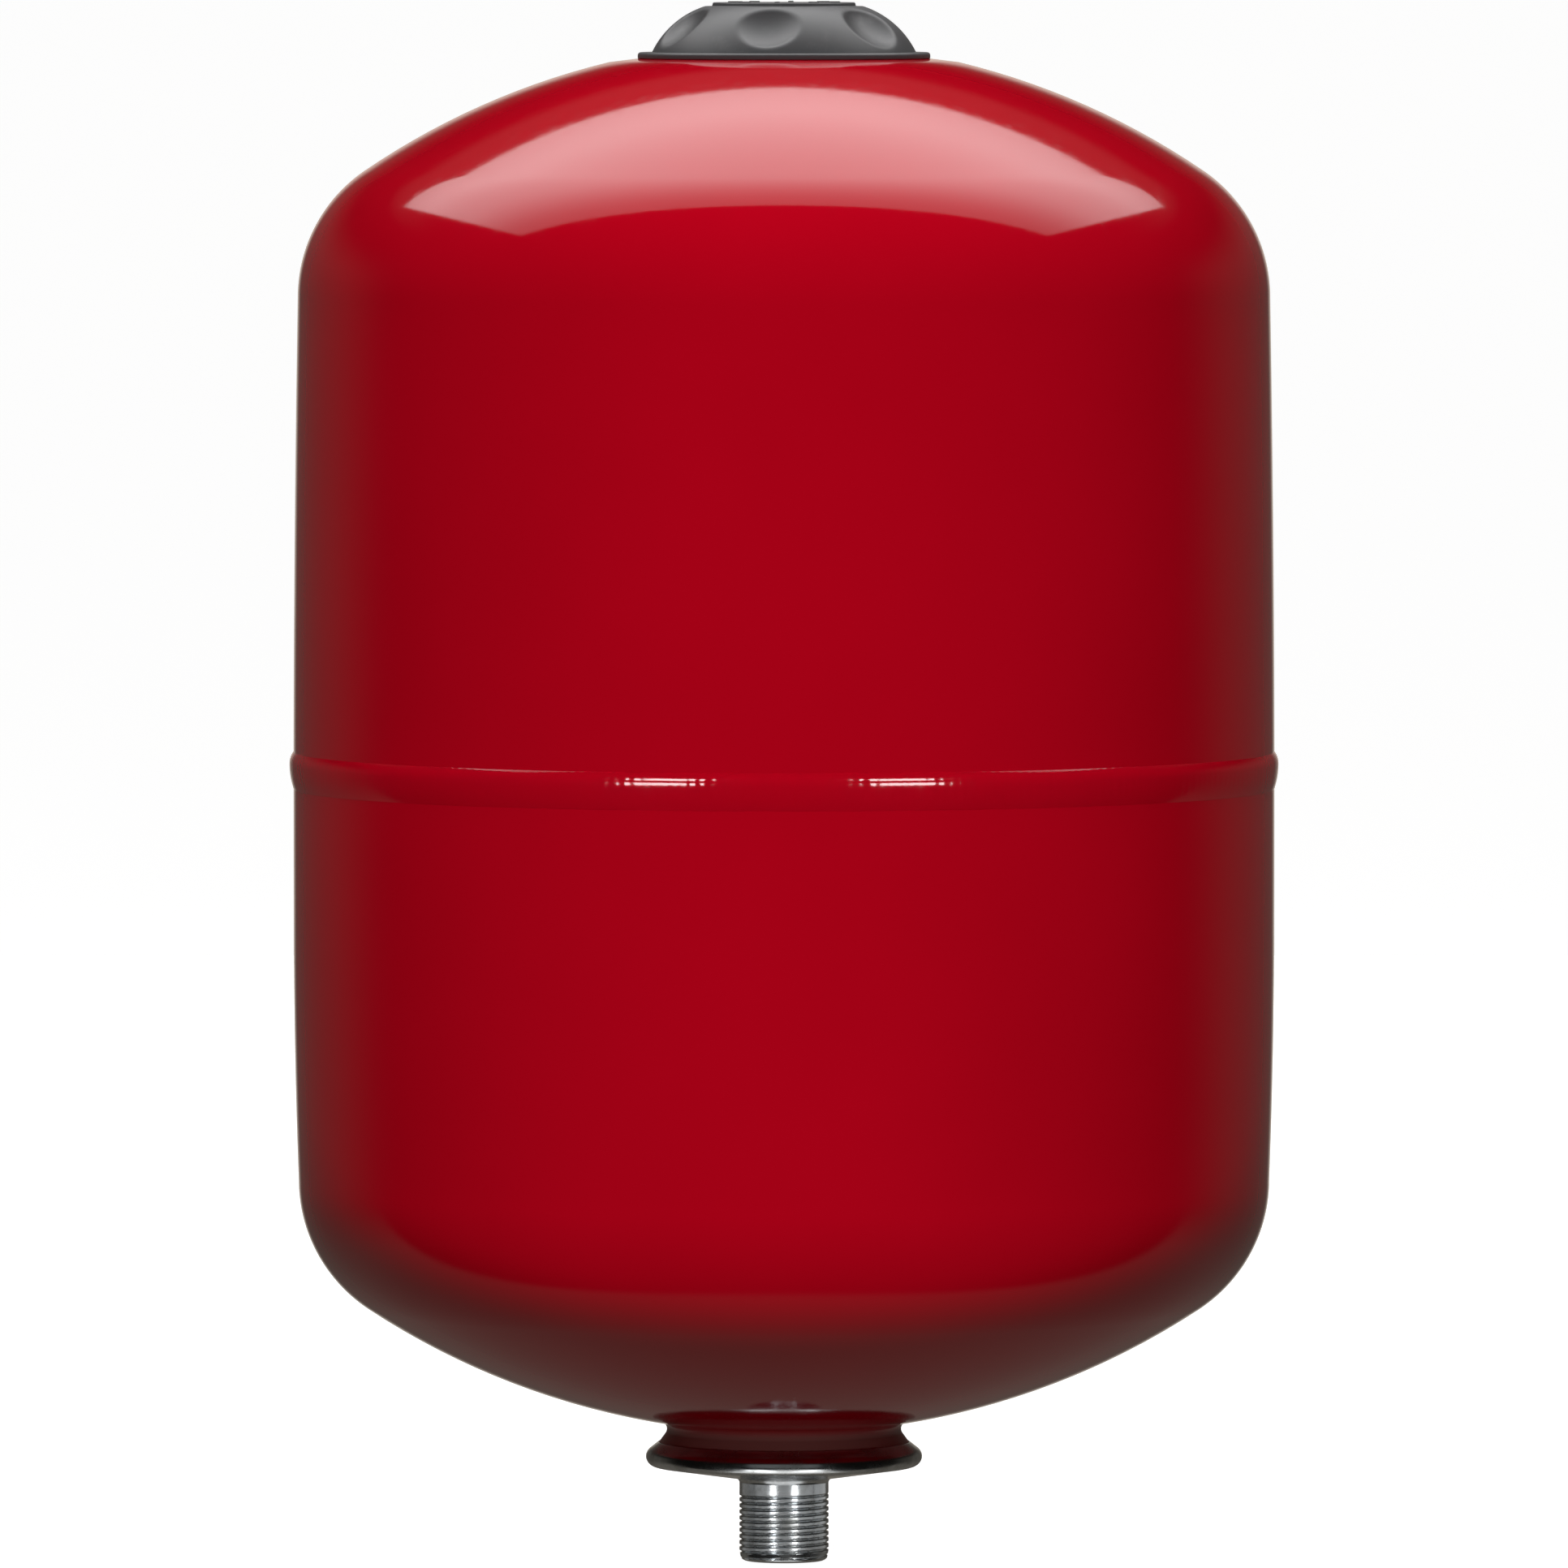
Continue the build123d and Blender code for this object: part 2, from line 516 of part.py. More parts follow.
os.makedirs("parts", exist_ok=True)
for piece in PIECES:
    export_step(piece(), f"parts/{piece.__name__}.step")
    print(piece.__name__)
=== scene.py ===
# %% [markdown]
# # Expansion vessel
# A heating circuit needs somewhere for warm water to expand into. This vessel is two pressed steel
# cups, welded round the middle and painted red, with a rubber bladder inside, a pipe nipple below
# and a charging valve under a black cover on top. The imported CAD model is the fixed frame: this
# lesson gives every visible piece a finer mesh and a finish, and moves nothing.

# %% Load the frame
import math
import bmesh
import bpy
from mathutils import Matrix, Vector


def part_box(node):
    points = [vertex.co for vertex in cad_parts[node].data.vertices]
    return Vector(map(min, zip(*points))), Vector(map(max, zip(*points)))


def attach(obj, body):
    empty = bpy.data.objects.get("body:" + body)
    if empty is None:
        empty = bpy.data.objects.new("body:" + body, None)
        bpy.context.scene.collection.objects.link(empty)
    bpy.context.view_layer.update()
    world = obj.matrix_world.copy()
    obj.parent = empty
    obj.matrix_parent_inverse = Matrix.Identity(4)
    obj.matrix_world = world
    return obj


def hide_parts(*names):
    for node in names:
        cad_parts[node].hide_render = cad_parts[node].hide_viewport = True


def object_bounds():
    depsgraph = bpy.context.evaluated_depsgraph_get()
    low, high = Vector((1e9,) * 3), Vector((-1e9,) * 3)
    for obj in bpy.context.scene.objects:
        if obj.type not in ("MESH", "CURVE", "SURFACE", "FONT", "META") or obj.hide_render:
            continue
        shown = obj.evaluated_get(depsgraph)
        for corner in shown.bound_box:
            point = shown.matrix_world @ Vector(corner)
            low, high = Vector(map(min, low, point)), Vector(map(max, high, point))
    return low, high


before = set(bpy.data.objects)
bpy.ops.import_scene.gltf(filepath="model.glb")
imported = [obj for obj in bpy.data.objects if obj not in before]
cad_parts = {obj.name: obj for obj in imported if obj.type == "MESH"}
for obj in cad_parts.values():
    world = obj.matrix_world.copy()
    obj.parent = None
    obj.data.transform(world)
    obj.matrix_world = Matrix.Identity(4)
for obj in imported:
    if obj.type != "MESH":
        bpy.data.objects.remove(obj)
cad_low, cad_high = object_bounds()

# %% [markdown]
# ## One language for every node graph
# Materials and Geometry Nodes are both graphs of nodes. A small wrapper for an output socket lets
# the maths in them be written as ordinary Python, and one method adds every other kind of node.

# %% Sockets that Python's operators understand
class Wire:
    """An output socket. Each operator adds one Math node to the graph."""

    def __init__(self, graph, socket):
        self.graph = graph
        self.socket = socket

    def __add__(self, other):
        return self.graph.maths("ADD", self, other)

    def __sub__(self, other):
        return self.graph.maths("SUBTRACT", self, other)

    def __rsub__(self, other):
        return self.graph.maths("SUBTRACT", other, self)

    def __mul__(self, other):
        return self.graph.maths("MULTIPLY", self, other)

    def __truediv__(self, other):
        return self.graph.maths("DIVIDE", self, other)

    def __pow__(self, other):
        return self.graph.maths("POWER", self, other)

    def __gt__(self, other):
        return self.graph.maths("GREATER_THAN", self, other)

    __radd__ = __add__
    __rmul__ = __mul__

    def out(self, name):
        """Another output of the same node."""
        return Wire(self.graph, self.socket.node.outputs[name])


class Graph:
    """A node tree, with one way to add any node."""

    def __init__(self, tree):
        self.tree = tree

    def feed(self, socket, value):
        if isinstance(value, Wire):
            self.tree.links.new(value.socket, socket)
        else:
            socket.default_value = value

    def node(self, kind, settings=None, values=None, output=0):
        """Add a node: its settings first, then the values or links of its sockets."""
        node = self.tree.nodes.new(kind)
        for name, value in (settings or {}).items():
            setattr(node, name, value)
        for name, value in (values or {}).items():
            self.feed(node.inputs[name], value)
        return Wire(self, node.outputs[output]) if node.outputs else node

    def maths(self, operation, *values):
        return self.node("ShaderNodeMath", {"operation": operation}, dict(enumerate(values)))

    def ramp(self, value, low, high):
        """0 below low, 1 above high and smooth between them."""
        limits = {"Value": value, "From Min": low, "From Max": high}
        return self.node("ShaderNodeMapRange", {"interpolation_type": "SMOOTHSTEP"}, limits)

    def noise(self, place, scale, detail=2.0, roughness=0.5):
        values = {"Vector": place, "Scale": scale, "Detail": detail, "Roughness": roughness}
        return self.node("ShaderNodeTexNoise", None, values)

    def mix(self, factor, low, high):
        """Blend two colours."""
        colours = {0: factor, 6: low, 7: high}
        return self.node("ShaderNodeMix", {"data_type": "RGBA"}, colours, output=2)


print("graph helpers ready")

# %% [markdown]
# ## A finish is a Principled surface
# Each finish below starts from this recipe. Numbers that are the same all over a surface sit on the
# shader's own sockets. Only what varies is worked out by nodes. Patterns are read in metres, so a
# noise scale of 300 makes marks about a three-hundredth of a metre across.

# %% Start a finish
class Finish(Graph):
    """A material with one Principled shader, read in the object's own coordinates, in metres."""

    def __init__(self, name, **constants):
        self.material = bpy.data.materials.new(name)
        self.material.use_nodes = True
        super().__init__(self.material.node_tree)
        self.shader = self.tree.nodes["Principled BSDF"]
        for socket, value in constants.items():
            self.shader.inputs[socket.replace("_", " ")].default_value = value
        self.place = self.node("ShaderNodeTexCoord", output="Object")

    def set(self, socket, value):
        self.feed(self.shader.inputs[socket], value)

    def bump(self, height, distance, strength=1.0, under=None):
        """Turn a height into a Normal, over another bump if there is one."""
        values = {"Height": height, "Distance": distance, "Strength": strength}
        if under is not None:
            values["Normal"] = under
        normal = self.node("ShaderNodeBump", None, values)
        self.set("Normal", normal)
        return normal

    def radius(self):
        """Distance from the vessel's axis."""
        xyz = self.node("ShaderNodeSeparateXYZ", None, {0: self.place})
        across = xyz.out("X") ** 2.0 + xyz.out("Y") ** 2.0
        return across ** 0.5


print("finish recipe ready")

# %% [markdown]
# ## Red enamel
# The shells are pressed, welded and then sprayed, so one coat covers both cups and the weld. Real
# stoving enamel is glossy but never a mirror: it keeps a faint orange peel a few millimetres across,
# drifts a little in depth where the coat is thicker, and carries fine wiping marks in its gloss.
# The gun hardly reaches the neck between body and flange, so the coat there is dull; its colour there is
# mixed towards a grey brown, part dust and part a painted reflection of a grey floor.

# %% Red enamel
ENAMEL = (0.520, 0.0008, 0.0120)
ENAMEL_DEEP = (0.440, 0.0004, 0.0090)
# Grey brown of the neck: part dust, part painted reflection of a grey floor.
PAINTED_VEIL_AND_DUST = (0.450, 0.215, 0.190)
NECK_FROM, NECK_TO = 0.038, 0.042
DRIFT, PEEL, GRAIN = 11.0, 300.0, 1400.0
WIPING = (260.0, 260.0, 30.0)


def red_enamel():
    paint = Finish("red_enamel", IOR=1.5)
    drift = paint.noise(paint.place, DRIFT, 3.0)
    height = paint.node("ShaderNodeSeparateXYZ", None, {"Vector": paint.place}, output="Z")
    neck = 1.0 - paint.ramp(height, NECK_FROM, NECK_TO)
    coat = paint.mix(drift, (*ENAMEL_DEEP, 1), (*ENAMEL, 1))
    # Towards the neck the colour turns grey brown, part dust and part painted reflection of a grey floor.
    paint.set("Base Color", paint.mix(neck * (0.6 + 0.4 * drift), coat, (*PAINTED_VEIL_AND_DUST, 1)))
    wiped = paint.node("ShaderNodeMapping", None, {"Vector": paint.place, "Scale": WIPING})
    streaks = paint.noise(wiped, 1.0, 4.0, 0.6)
    paint.set("Roughness", 0.075 + 0.05 * paint.ramp(streaks, 0.45, 0.75) + 0.30 * neck)
    peel = paint.noise(paint.place, PEEL, 1.0)
    grain = paint.noise(paint.place, GRAIN, 2.0)
    coarse = paint.bump(peel, 0.0001, 0.05)
    paint.bump(grain, 0.00002, 0.04, under=coarse)
    return paint.material


enamel = red_enamel()
print("made", enamel.name)

# %% [markdown]
# ## Zinc plate
# The flange plate and the nipple are plated, not painted. Bright zinc is a slightly blue metal with
# cloudy patches in its passivation. The lathe and the press leave fine rings round the axis, which
# stretch each highlight, so the rings go into the bump and the clouds into the roughness. A noise of
# the radius alone draws the rings, where a wave would make them too regular.

# %% Zinc plate
ZINC = (0.56, 0.585, 0.60)
ZINC_DULL = (0.40, 0.41, 0.405)
CLOUDS, TOOTH, LATHE_RINGS = 130.0, 900.0, 6000.0


def zinc_plate():
    zinc = Finish("zinc_plate", Metallic=1.0)
    clouds = zinc.noise(zinc.place, CLOUDS, 5.0, 0.6)
    patches = zinc.ramp(clouds, 0.38, 0.68)
    zinc.set("Base Color", zinc.mix(patches, (*ZINC, 1), (*ZINC_DULL, 1)))
    zinc.set("Roughness", 0.19 + 0.11 * patches)
    rings = zinc.node("ShaderNodeTexNoise", {"noise_dimensions": "1D"},
                      {"W": zinc.radius(), "Scale": LATHE_RINGS, "Detail": 3.0})
    turned = zinc.bump(rings, 0.00001, 0.35)
    zinc.bump(zinc.noise(zinc.place, TOOTH, 3.0), 0.00002, 0.05, under=turned)
    return zinc.material


zinc = zinc_plate()
print("made", zinc.name)

# %% [markdown]
# ## Moulded plastic
# The cover and its base are black polypropylene from a spark-eroded mould: satin, with a texture of
# pits a third of a millimetre wide, and a trace of grey where hands have polished the high spots.

# %% Moulded plastic
SCUFFS, PITS = 90.0, 2600.0


def moulded_plastic(name, tone, roughness):
    plastic = Finish(name, IOR=1.49)
    scuffs = plastic.noise(plastic.place, SCUFFS, 5.0, 0.65)
    worn = plastic.ramp(scuffs, 0.55, 0.75)
    dark = (tone, tone, tone * 1.04, 1)
    pale = (tone * 1.35, tone * 1.35, tone * 1.4, 1)
    plastic.set("Base Color", plastic.mix(worn, dark, pale))
    plastic.set("Roughness", roughness - 0.08 * worn)
    pits = plastic.noise(plastic.place, PITS, 2.0)
    plastic.bump(pits, 0.00004, 0.35)
    return plastic.material


black_plastic = moulded_plastic("black_plastic", 0.062, 0.42)
cap_plastic = moulded_plastic("dust_cap_plastic", 0.022, 0.50)
print("made", black_plastic.name, cap_plastic.name)

# %% [markdown]
# ## Rubber, brass, spring wire and the valve's seal
# These show only when the cover is off, or not at all, but each is still a real finish.

# %% Small hidden finishes
def rubber(name, tone, roughness):
    bag = Finish(name, IOR=1.52)
    bloom = bag.ramp(bag.noise(bag.place, 60.0, 4.0), 0.4, 0.8)
    bag.set("Base Color", bag.mix(bloom, (tone, tone, tone, 1), (tone * 2.2, tone * 2.2, tone * 2.1, 1)))
    bag.set("Roughness", roughness + 0.15 * bloom)
    bag.bump(bag.noise(bag.place, 800.0, 2.0), 0.00005, 0.25)
    return bag.material


def turned_brass():
    brass = Finish("turned_brass", Metallic=1.0)
    tarnish = brass.ramp(brass.noise(brass.place, 300.0, 4.0), 0.4, 0.7)
    brass.set("Base Color", brass.mix(tarnish, (0.80, 0.60, 0.26, 1), (0.52, 0.36, 0.15, 1)))
    brass.set("Roughness", 0.22 + 0.18 * tarnish)
    rings = brass.node("ShaderNodeTexNoise", {"noise_dimensions": "1D"},
                       {"W": brass.radius(), "Scale": 9000.0, "Detail": 2.0})
    brass.bump(rings, 0.00001, 0.3)
    return brass.material


def drawn_wire():
    wire = Finish("drawn_wire", Metallic=1.0)
    smut = wire.noise(wire.place, 2000.0, 3.0)
    wire.set("Base Color", wire.mix(smut, (0.50, 0.50, 0.50, 1), (0.66, 0.66, 0.66, 1)))
    wire.set("Roughness", 0.25 + 0.1 * smut)
    return wire.material


def seal_polymer():
    seal = Finish("seal_polymer")
    mottle = seal.noise(seal.place, 900.0, 2.0)
    seal.set("Base Color", seal.mix(mottle, (0.50, 0.05, 0.03, 1), (0.62, 0.09, 0.06, 1)))
    seal.set("Roughness", 0.4 + 0.1 * mottle)
    return seal.material


bag_rubber = rubber("bag_rubber", 0.014, 0.55)
seal_rubber = rubber("seal_rubber", 0.016, 0.60)
brass = turned_brass()
wire = drawn_wire()
polymer = seal_polymer()
print("made", bag_rubber.name, seal_rubber.name, brass.name, wire.name, polymer.name)

# %% [markdown]
# ## Pressing and turning are the same move
# A deep-drawn cup and a turned nipple both have one section all the way round. So most pieces are an
# outline of points (radius, height) spun about the axis. Outlines are in millimetres, like a
# drawing. Arcs keep the radii of the press tools, and small corner radii catch the light.

# %% Outline helpers
MM = 0.001
SPOKES = 288


def arc(centre, radius, start, end, step=1.5):
    """Points on an arc, with angles in degrees counted from the outward direction."""
    count = max(2, round(abs(end - start) / step))
    angles = [math.radians(start + (end - start) * k / count) for k in range(count + 1)]
    return [(centre[0] + radius * math.cos(a), centre[1] + radius * math.sin(a)) for a in angles]


def rounded(*corners, steps=5):
    """Straight runs through (radius, height, fillet) corners, each corner rounded by its fillet."""
    path = []
    for k, (x, y, fillet) in enumerate(corners):
        here = Vector((x, y))
        if fillet == 0 or k in (0, len(corners) - 1):
            path.append((x, y))
            continue
        back = (Vector(corners[k - 1][:2]) - here).normalized()
        ahead = (Vector(corners[k + 1][:2]) - here).normalized()
        half = back.angle(ahead) / 2
        reach = fillet / math.tan(half)
        start = here + back * reach
        end = here + ahead * reach
        middle = here + (back + ahead).normalized() * (fillet / math.sin(half))
        from_middle = start - middle
        sweep = from_middle.angle_signed(end - middle)
        for step in range(steps + 1):
            angle = -sweep * step / steps
            cos, sin = math.cos(angle), math.sin(angle)
            path.append((middle.x + from_middle.x * cos - from_middle.y * sin,
                         middle.y + from_middle.x * sin + from_middle.y * cos))
    return path


def subdivided(points, longest):
    """Extra points, so that no run is longer than the given length."""
    path = [points[0]]
    for (x0, y0), (x1, y1) in zip(points, points[1:]):
        count = max(1, math.ceil(math.hypot(x1 - x0, y1 - y0) / longest))
        path += [(x0 + (x1 - x0) * k / count, y0 + (y1 - y0) * k / count) for k in range(1, count + 1)]
    return path


print("outline helpers ready")

# %% The lathe
def without_repeats(outline):
    """Drop points that lie on the one before them."""
    path = []
    for point in outline:
        if not path or math.dist(point, path[-1]) > 1e-4:
            path.append(point)
    if math.dist(path[0], path[-1]) < 1e-4:
        path.pop()
    return path


def turn(name, outline, material, spokes=SPOKES):
    """Spin a closed outline about the axis into one mesh piece with its faces outwards."""
    shape = bmesh.new()
    rings = []
    for radius, height in without_repeats(outline):
        count = 1 if radius < 1e-6 else spokes
        angles = [2 * math.pi * k / spokes for k in range(count)]
        rings.append([shape.verts.new((radius * MM * math.cos(a), radius * MM * math.sin(a), height * MM))
                      for a in angles])
    for ring, following in zip(rings, rings[1:] + rings[:1]):
        if len(ring) == 1 and len(following) == 1:
            continue
        for k in range(spokes):
            corners = [ring[k % len(ring)], ring[(k + 1) % spokes % len(ring)],
                       following[(k + 1) % spokes % len(following)], following[k % len(following)]]
            shape.faces.new(list(dict.fromkeys(corners)))
    bmesh.ops.recalc_face_normals(shape, faces=shape.faces)
    return piece_from(name, shape, material)


def piece_from(name, shape, material):
    """Make an object at the origin from an edited mesh, shaded smooth with crisp corners kept."""
    mesh = bpy.data.meshes.new(name)
    shape.to_mesh(mesh)
    shape.free()
    mesh.materials.append(material)
    smooth(mesh)
    piece = bpy.data.objects.new(name, mesh)
    bpy.context.scene.collection.objects.link(piece)
    return piece


def smooth(mesh, sharp_angle=math.radians(38)):
    mesh.shade_smooth()
    mesh.set_sharp_from_angle(angle=sharp_angle)


def stand_for(piece, node, body):
    """Ride on a body in place of a CAD node, which is hidden."""
    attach(piece, body)
    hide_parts(node)
    print(piece.name, len(piece.data.polygons), "faces for", node)


print("lathe ready, with", SPOKES, "spokes")

# %% [markdown]
# ## Geometry Nodes helpers
# A tree is built once with named inputs. The modifier's values are set by each input's identifier
# before the object is first evaluated, and then the result is kept as a plain mesh.

# %% Build and bake a Geometry Nodes tree
class Builder(Graph):
    """A Geometry Nodes tree that ends in Realize Instances and Set Material."""

    def __init__(self, name, inputs):
        tree = bpy.data.node_groups.new(name, "GeometryNodeTree")
        super().__init__(tree)
        tree.interface.new_socket(name="Geometry", in_out="INPUT", socket_type="NodeSocketGeometry")
        self.identifiers = {}
        for label, value in inputs.items():
            kind = "NodeSocketInt" if isinstance(value, int) else "NodeSocketFloat"
            socket = tree.interface.new_socket(name=label, in_out="INPUT", socket_type=kind)
            socket.default_value = value
            self.identifiers[label] = socket.identifier
        tree.interface.new_socket(name="Geometry", in_out="OUTPUT", socket_type="NodeSocketGeometry")
        self.start = self.node("NodeGroupInput")

    def input(self, label):
        return self.start.out(label)

    def close(self, geometry, material):
        real = self.node("GeometryNodeRealizeInstances", None, {0: geometry})
        painted = self.node("GeometryNodeSetMaterial", None, {"Geometry": real, "Material": material})
        self.node("NodeGroupOutput", None, {0: painted})

    def radial(self):
        """The unit vector away from the axis, the angle in turns and the height of each point."""
        place = self.node("GeometryNodeInputPosition")
        xyz = self.node("ShaderNodeSeparateXYZ", None, {0: place})
        flat = self.node("ShaderNodeCombineXYZ", None, {"X": xyz.out("X"), "Y": xyz.out("Y")})
        outward = self.node("ShaderNodeVectorMath", {"operation": "NORMALIZE"}, {0: flat})
        turns = self.maths("ARCTAN2", xyz.out("Y"), xyz.out("X")) / (2 * math.pi)
        return place, outward, turns, xyz.out("Z")

    def push(self, geometry, outward, distance):
        """Move each point along a direction."""
        offset = self.node("ShaderNodeVectorMath", {"operation": "SCALE"}, {0: outward, "Scale": distance})
        return self.node("GeometryNodeSetPosition", None, {"Geometry": geometry, "Offset": offset})


def apply_tree(piece, builder, **values):
    """Run the tree on a piece, keep the result as its plain mesh and drop the modifier."""
    modifier = piece.modifiers.new("shape", "NODES")
    modifier.node_group = builder.tree
    for label, value in values.items():
        modifier[builder.identifiers[label.replace("_", " ")]] = value
    depsgraph = bpy.context.evaluated_depsgraph_get()
    mesh = bpy.data.meshes.new_from_object(piece.evaluated_get(depsgraph))
    piece.modifiers.clear()
    piece.data = mesh
    smooth(mesh)
    return piece


print("geometry helpers ready")

# %% [markdown]
# ## The two pressed shells
# Each end is a torispherical dome, the usual end of a pressure vessel: a large crown radius in the
# middle and a small knuckle radius that turns it into the wall. The two arcs meet where their
# centres line up, which gives the angle below. The crown carries the valve well on top and the neck
# with its flared collar below. The section includes the inside face, so each shell has real walls.

# %% Driving sizes of the shells, in millimetres
BODY_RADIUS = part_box("lower_shell")[1].x / MM
SHEET = 1.2
UPPER_CROWN = 220.0
LOWER_CROWN = 223.5
KNUCKLE = 45.0
KNUCKLE_CENTRE = 98.6
UPPER_KNUCKLE_Z = 374.3
LOWER_KNUCKLE_Z = 113.0
WALL_BULGE = 0.25
UPPER_RISE = math.sqrt((UPPER_CROWN - KNUCKLE) ** 2 - KNUCKLE_CENTRE**2)
LOWER_RISE = math.sqrt((LOWER_CROWN - KNUCKLE) ** 2 - KNUCKLE_CENTRE**2)
UPPER_TANGENT = math.degrees(math.atan2(UPPER_RISE, KNUCKLE_CENTRE))
LOWER_TANGENT = math.degrees(math.atan2(LOWER_RISE, KNUCKLE_CENTRE))
WELD_TOP_Z = 240.0
WELD_BOTTOM_Z = 229.0
LAND_Z = 444.6
print(f"body radius {BODY_RADIUS:.1f} mm")
print(f"domes tangent at {UPPER_TANGENT:.1f} and {LOWER_TANGENT:.1f} degrees")


def wall(inset, straight_z, knuckle_z):
    """The wall leans in a little towards the knuckle, and swells slightly on the way."""
    low = BODY_RADIUS - inset
    high = KNUCKLE_CENTRE + KNUCKLE - inset
    steps = [k / 16 for k in range(17)]
    return [(low + (high - low) * t + 4 * WALL_BULGE * t * (1 - t),
             straight_z + (knuckle_z - straight_z) * t) for t in steps]


# %% Upper shell
UPPER_EDGE_Z = 236.0
WELL_RADIUS = 28.0
WELL_FLOOR_Z = 431.0
WELL_LIP = 4.0
VALVE_HOLE = 6.2
BLEND, BLEND_INSIDE, BLEND_ANGLE = 4.0, 6.0, 1.2


def upper_outline():
    crown = (0, UPPER_KNUCKLE_Z - UPPER_RISE)
    knuckle = (KNUCKLE_CENTRE, UPPER_KNUCKLE_Z)
    outer_edge = math.degrees(math.asin((LAND_Z - crown[1]) / UPPER_CROWN))
    inner_edge = math.degrees(math.asin((LAND_Z - SHEET - crown[1]) / (UPPER_CROWN - SHEET)))
    land_edge = UPPER_CROWN * math.cos(math.radians(outer_edge))
    bore = BODY_RADIUS - SHEET
    outside = rounded((VALVE_HOLE, WELL_FLOOR_Z, 0), (WELL_RADIUS, WELL_FLOOR_Z, WELL_LIP),
                      (WELL_RADIUS, LAND_Z, WELL_LIP), (land_edge - BLEND, LAND_Z, 0), steps=8)
    outside += arc(crown, UPPER_CROWN, outer_edge - BLEND_ANGLE, UPPER_TANGENT)
    outside += arc(knuckle, KNUCKLE, UPPER_TANGENT, 0)
    outside += wall(0, WELD_TOP_Z, UPPER_KNUCKLE_Z)[::-1] + [(BODY_RADIUS, UPPER_EDGE_Z)]
    inside = [(bore, UPPER_EDGE_Z)] + wall(SHEET, WELD_TOP_Z, UPPER_KNUCKLE_Z)
    inside += arc(knuckle, KNUCKLE - SHEET, 0, UPPER_TANGENT)
    inside += arc(crown, UPPER_CROWN - SHEET, UPPER_TANGENT, inner_edge)
    inside += rounded((land_edge - BLEND_INSIDE, LAND_Z - SHEET, 0),
                      (WELL_RADIUS + SHEET, LAND_Z - SHEET, WELL_LIP - SHEET),
                      (WELL_RADIUS + SHEET, WELL_FLOOR_Z - SHEET, WELL_LIP + SHEET),
                      (VALVE_HOLE, WELL_FLOOR_Z - SHEET, 0))
    return outside + inside


upper = turn("upper_shell_pressing", upper_outline(), enamel)
stand_for(upper, "upper_shell", "vessel")

# %% Lower shell
NECK_FILLET = 2.2
NECK_FILLET_CENTRE = 36.9
COLLAR_ANGLE = 36.0
COLLAR_LENGTH = 5.85
STRAIGHT_BOTTOM_Z = 178.0
LAP_TOP_Z = 250.0
LAP_GAP = 0.05
JOGGLE = ((BODY_RADIUS - 0.2, 231.5), (BODY_RADIUS - SHEET - LAP_GAP, 235.0))
JOGGLE_DROP = 0.6
LOWER_CROWN_Z = LOWER_KNUCKLE_Z + LOWER_RISE
NECK_DROP = math.sqrt((LOWER_CROWN + NECK_FILLET) ** 2 - NECK_FILLET_CENTRE**2)
NECK = (NECK_FILLET_CENTRE, LOWER_CROWN_Z - NECK_DROP)
NECK_ANGLE = math.degrees(math.atan2(NECK_DROP, -NECK_FILLET_CENTRE))


def along(point, angle, distance):
    """A point moved some distance in a direction, in degrees."""
    way = math.radians(angle)
    return (point[0] + distance * math.cos(way), point[1] + distance * math.sin(way))


def lower_outline():
    crown = (0, LOWER_CROWN_Z)
    knuckle = (KNUCKLE_CENTRE, LOWER_KNUCKLE_Z)
    lap = BODY_RADIUS - SHEET - LAP_GAP
    bore = BODY_RADIUS - SHEET
    joggle = [(BODY_RADIUS, STRAIGHT_BOTTOM_Z), (BODY_RADIUS, WELD_BOTTOM_Z), *JOGGLE,
              (lap, LAP_TOP_Z), (lap - SHEET, LAP_TOP_Z), (lap - SHEET, JOGGLE[1][1] - JOGGLE_DROP),
              (JOGGLE[0][0] - SHEET, JOGGLE[0][1] - JOGGLE_DROP), (bore, WELD_BOTTOM_Z),
              (bore, STRAIGHT_BOTTOM_Z)]
    collar_top = along(NECK, 180 + COLLAR_ANGLE, NECK_FILLET)
    collar_inside = along(NECK, 180 + COLLAR_ANGLE, NECK_FILLET + SHEET)
    collar_run = 270 + COLLAR_ANGLE
    inside = wall(SHEET, STRAIGHT_BOTTOM_Z, LOWER_KNUCKLE_Z)
    inside += arc(knuckle, KNUCKLE - SHEET, 0, -LOWER_TANGENT)
    inside += arc(crown, LOWER_CROWN - SHEET, -LOWER_TANGENT, NECK_ANGLE - 180)
    inside += arc(NECK, NECK_FILLET + SHEET, NECK_ANGLE, 180 + COLLAR_ANGLE, 12)
    outside = [along(foot, collar_run, COLLAR_LENGTH) for foot in (collar_inside, collar_top)]
    outside += arc(NECK, NECK_FILLET, 180 + COLLAR_ANGLE, NECK_ANGLE, 8)
    outside += arc(crown, LOWER_CROWN, NECK_ANGLE - 180, -LOWER_TANGENT)
    outside += arc(knuckle, KNUCKLE, -LOWER_TANGENT, 0)
    return joggle + inside + outside + wall(0, STRAIGHT_BOTTOM_Z, LOWER_KNUCKLE_Z)[::-1]


lower = turn("lower_shell_pressing", lower_outline(), enamel)
stand_for(lower, "lower_shell", "vessel")

# %% [markdown]
# ## The girth weld
# One bead runs round the lap. Its section is a low swell, and the torch leaves a ripple every few
# millimetres that the enamel softens. Bump could draw that, but bump leaves the outline smooth. A
# ripple repeats by a rule, so Geometry Nodes press it into the turned bead: a wave round the axis,
# made uneven by seeded noise.

# %% Bead section and ripples
WELD_CREST = 1.2
WELD_CREST_Z = 236.5


def swell(run):
    """Centre, radius and end angle of the arc from the crest down or up to the shell."""
    radius = (WELD_CREST**2 + run**2) / (2 * WELD_CREST)
    return (BODY_RADIUS + WELD_CREST - radius, WELD_CREST_Z), radius, math.degrees(math.asin(run / radius))


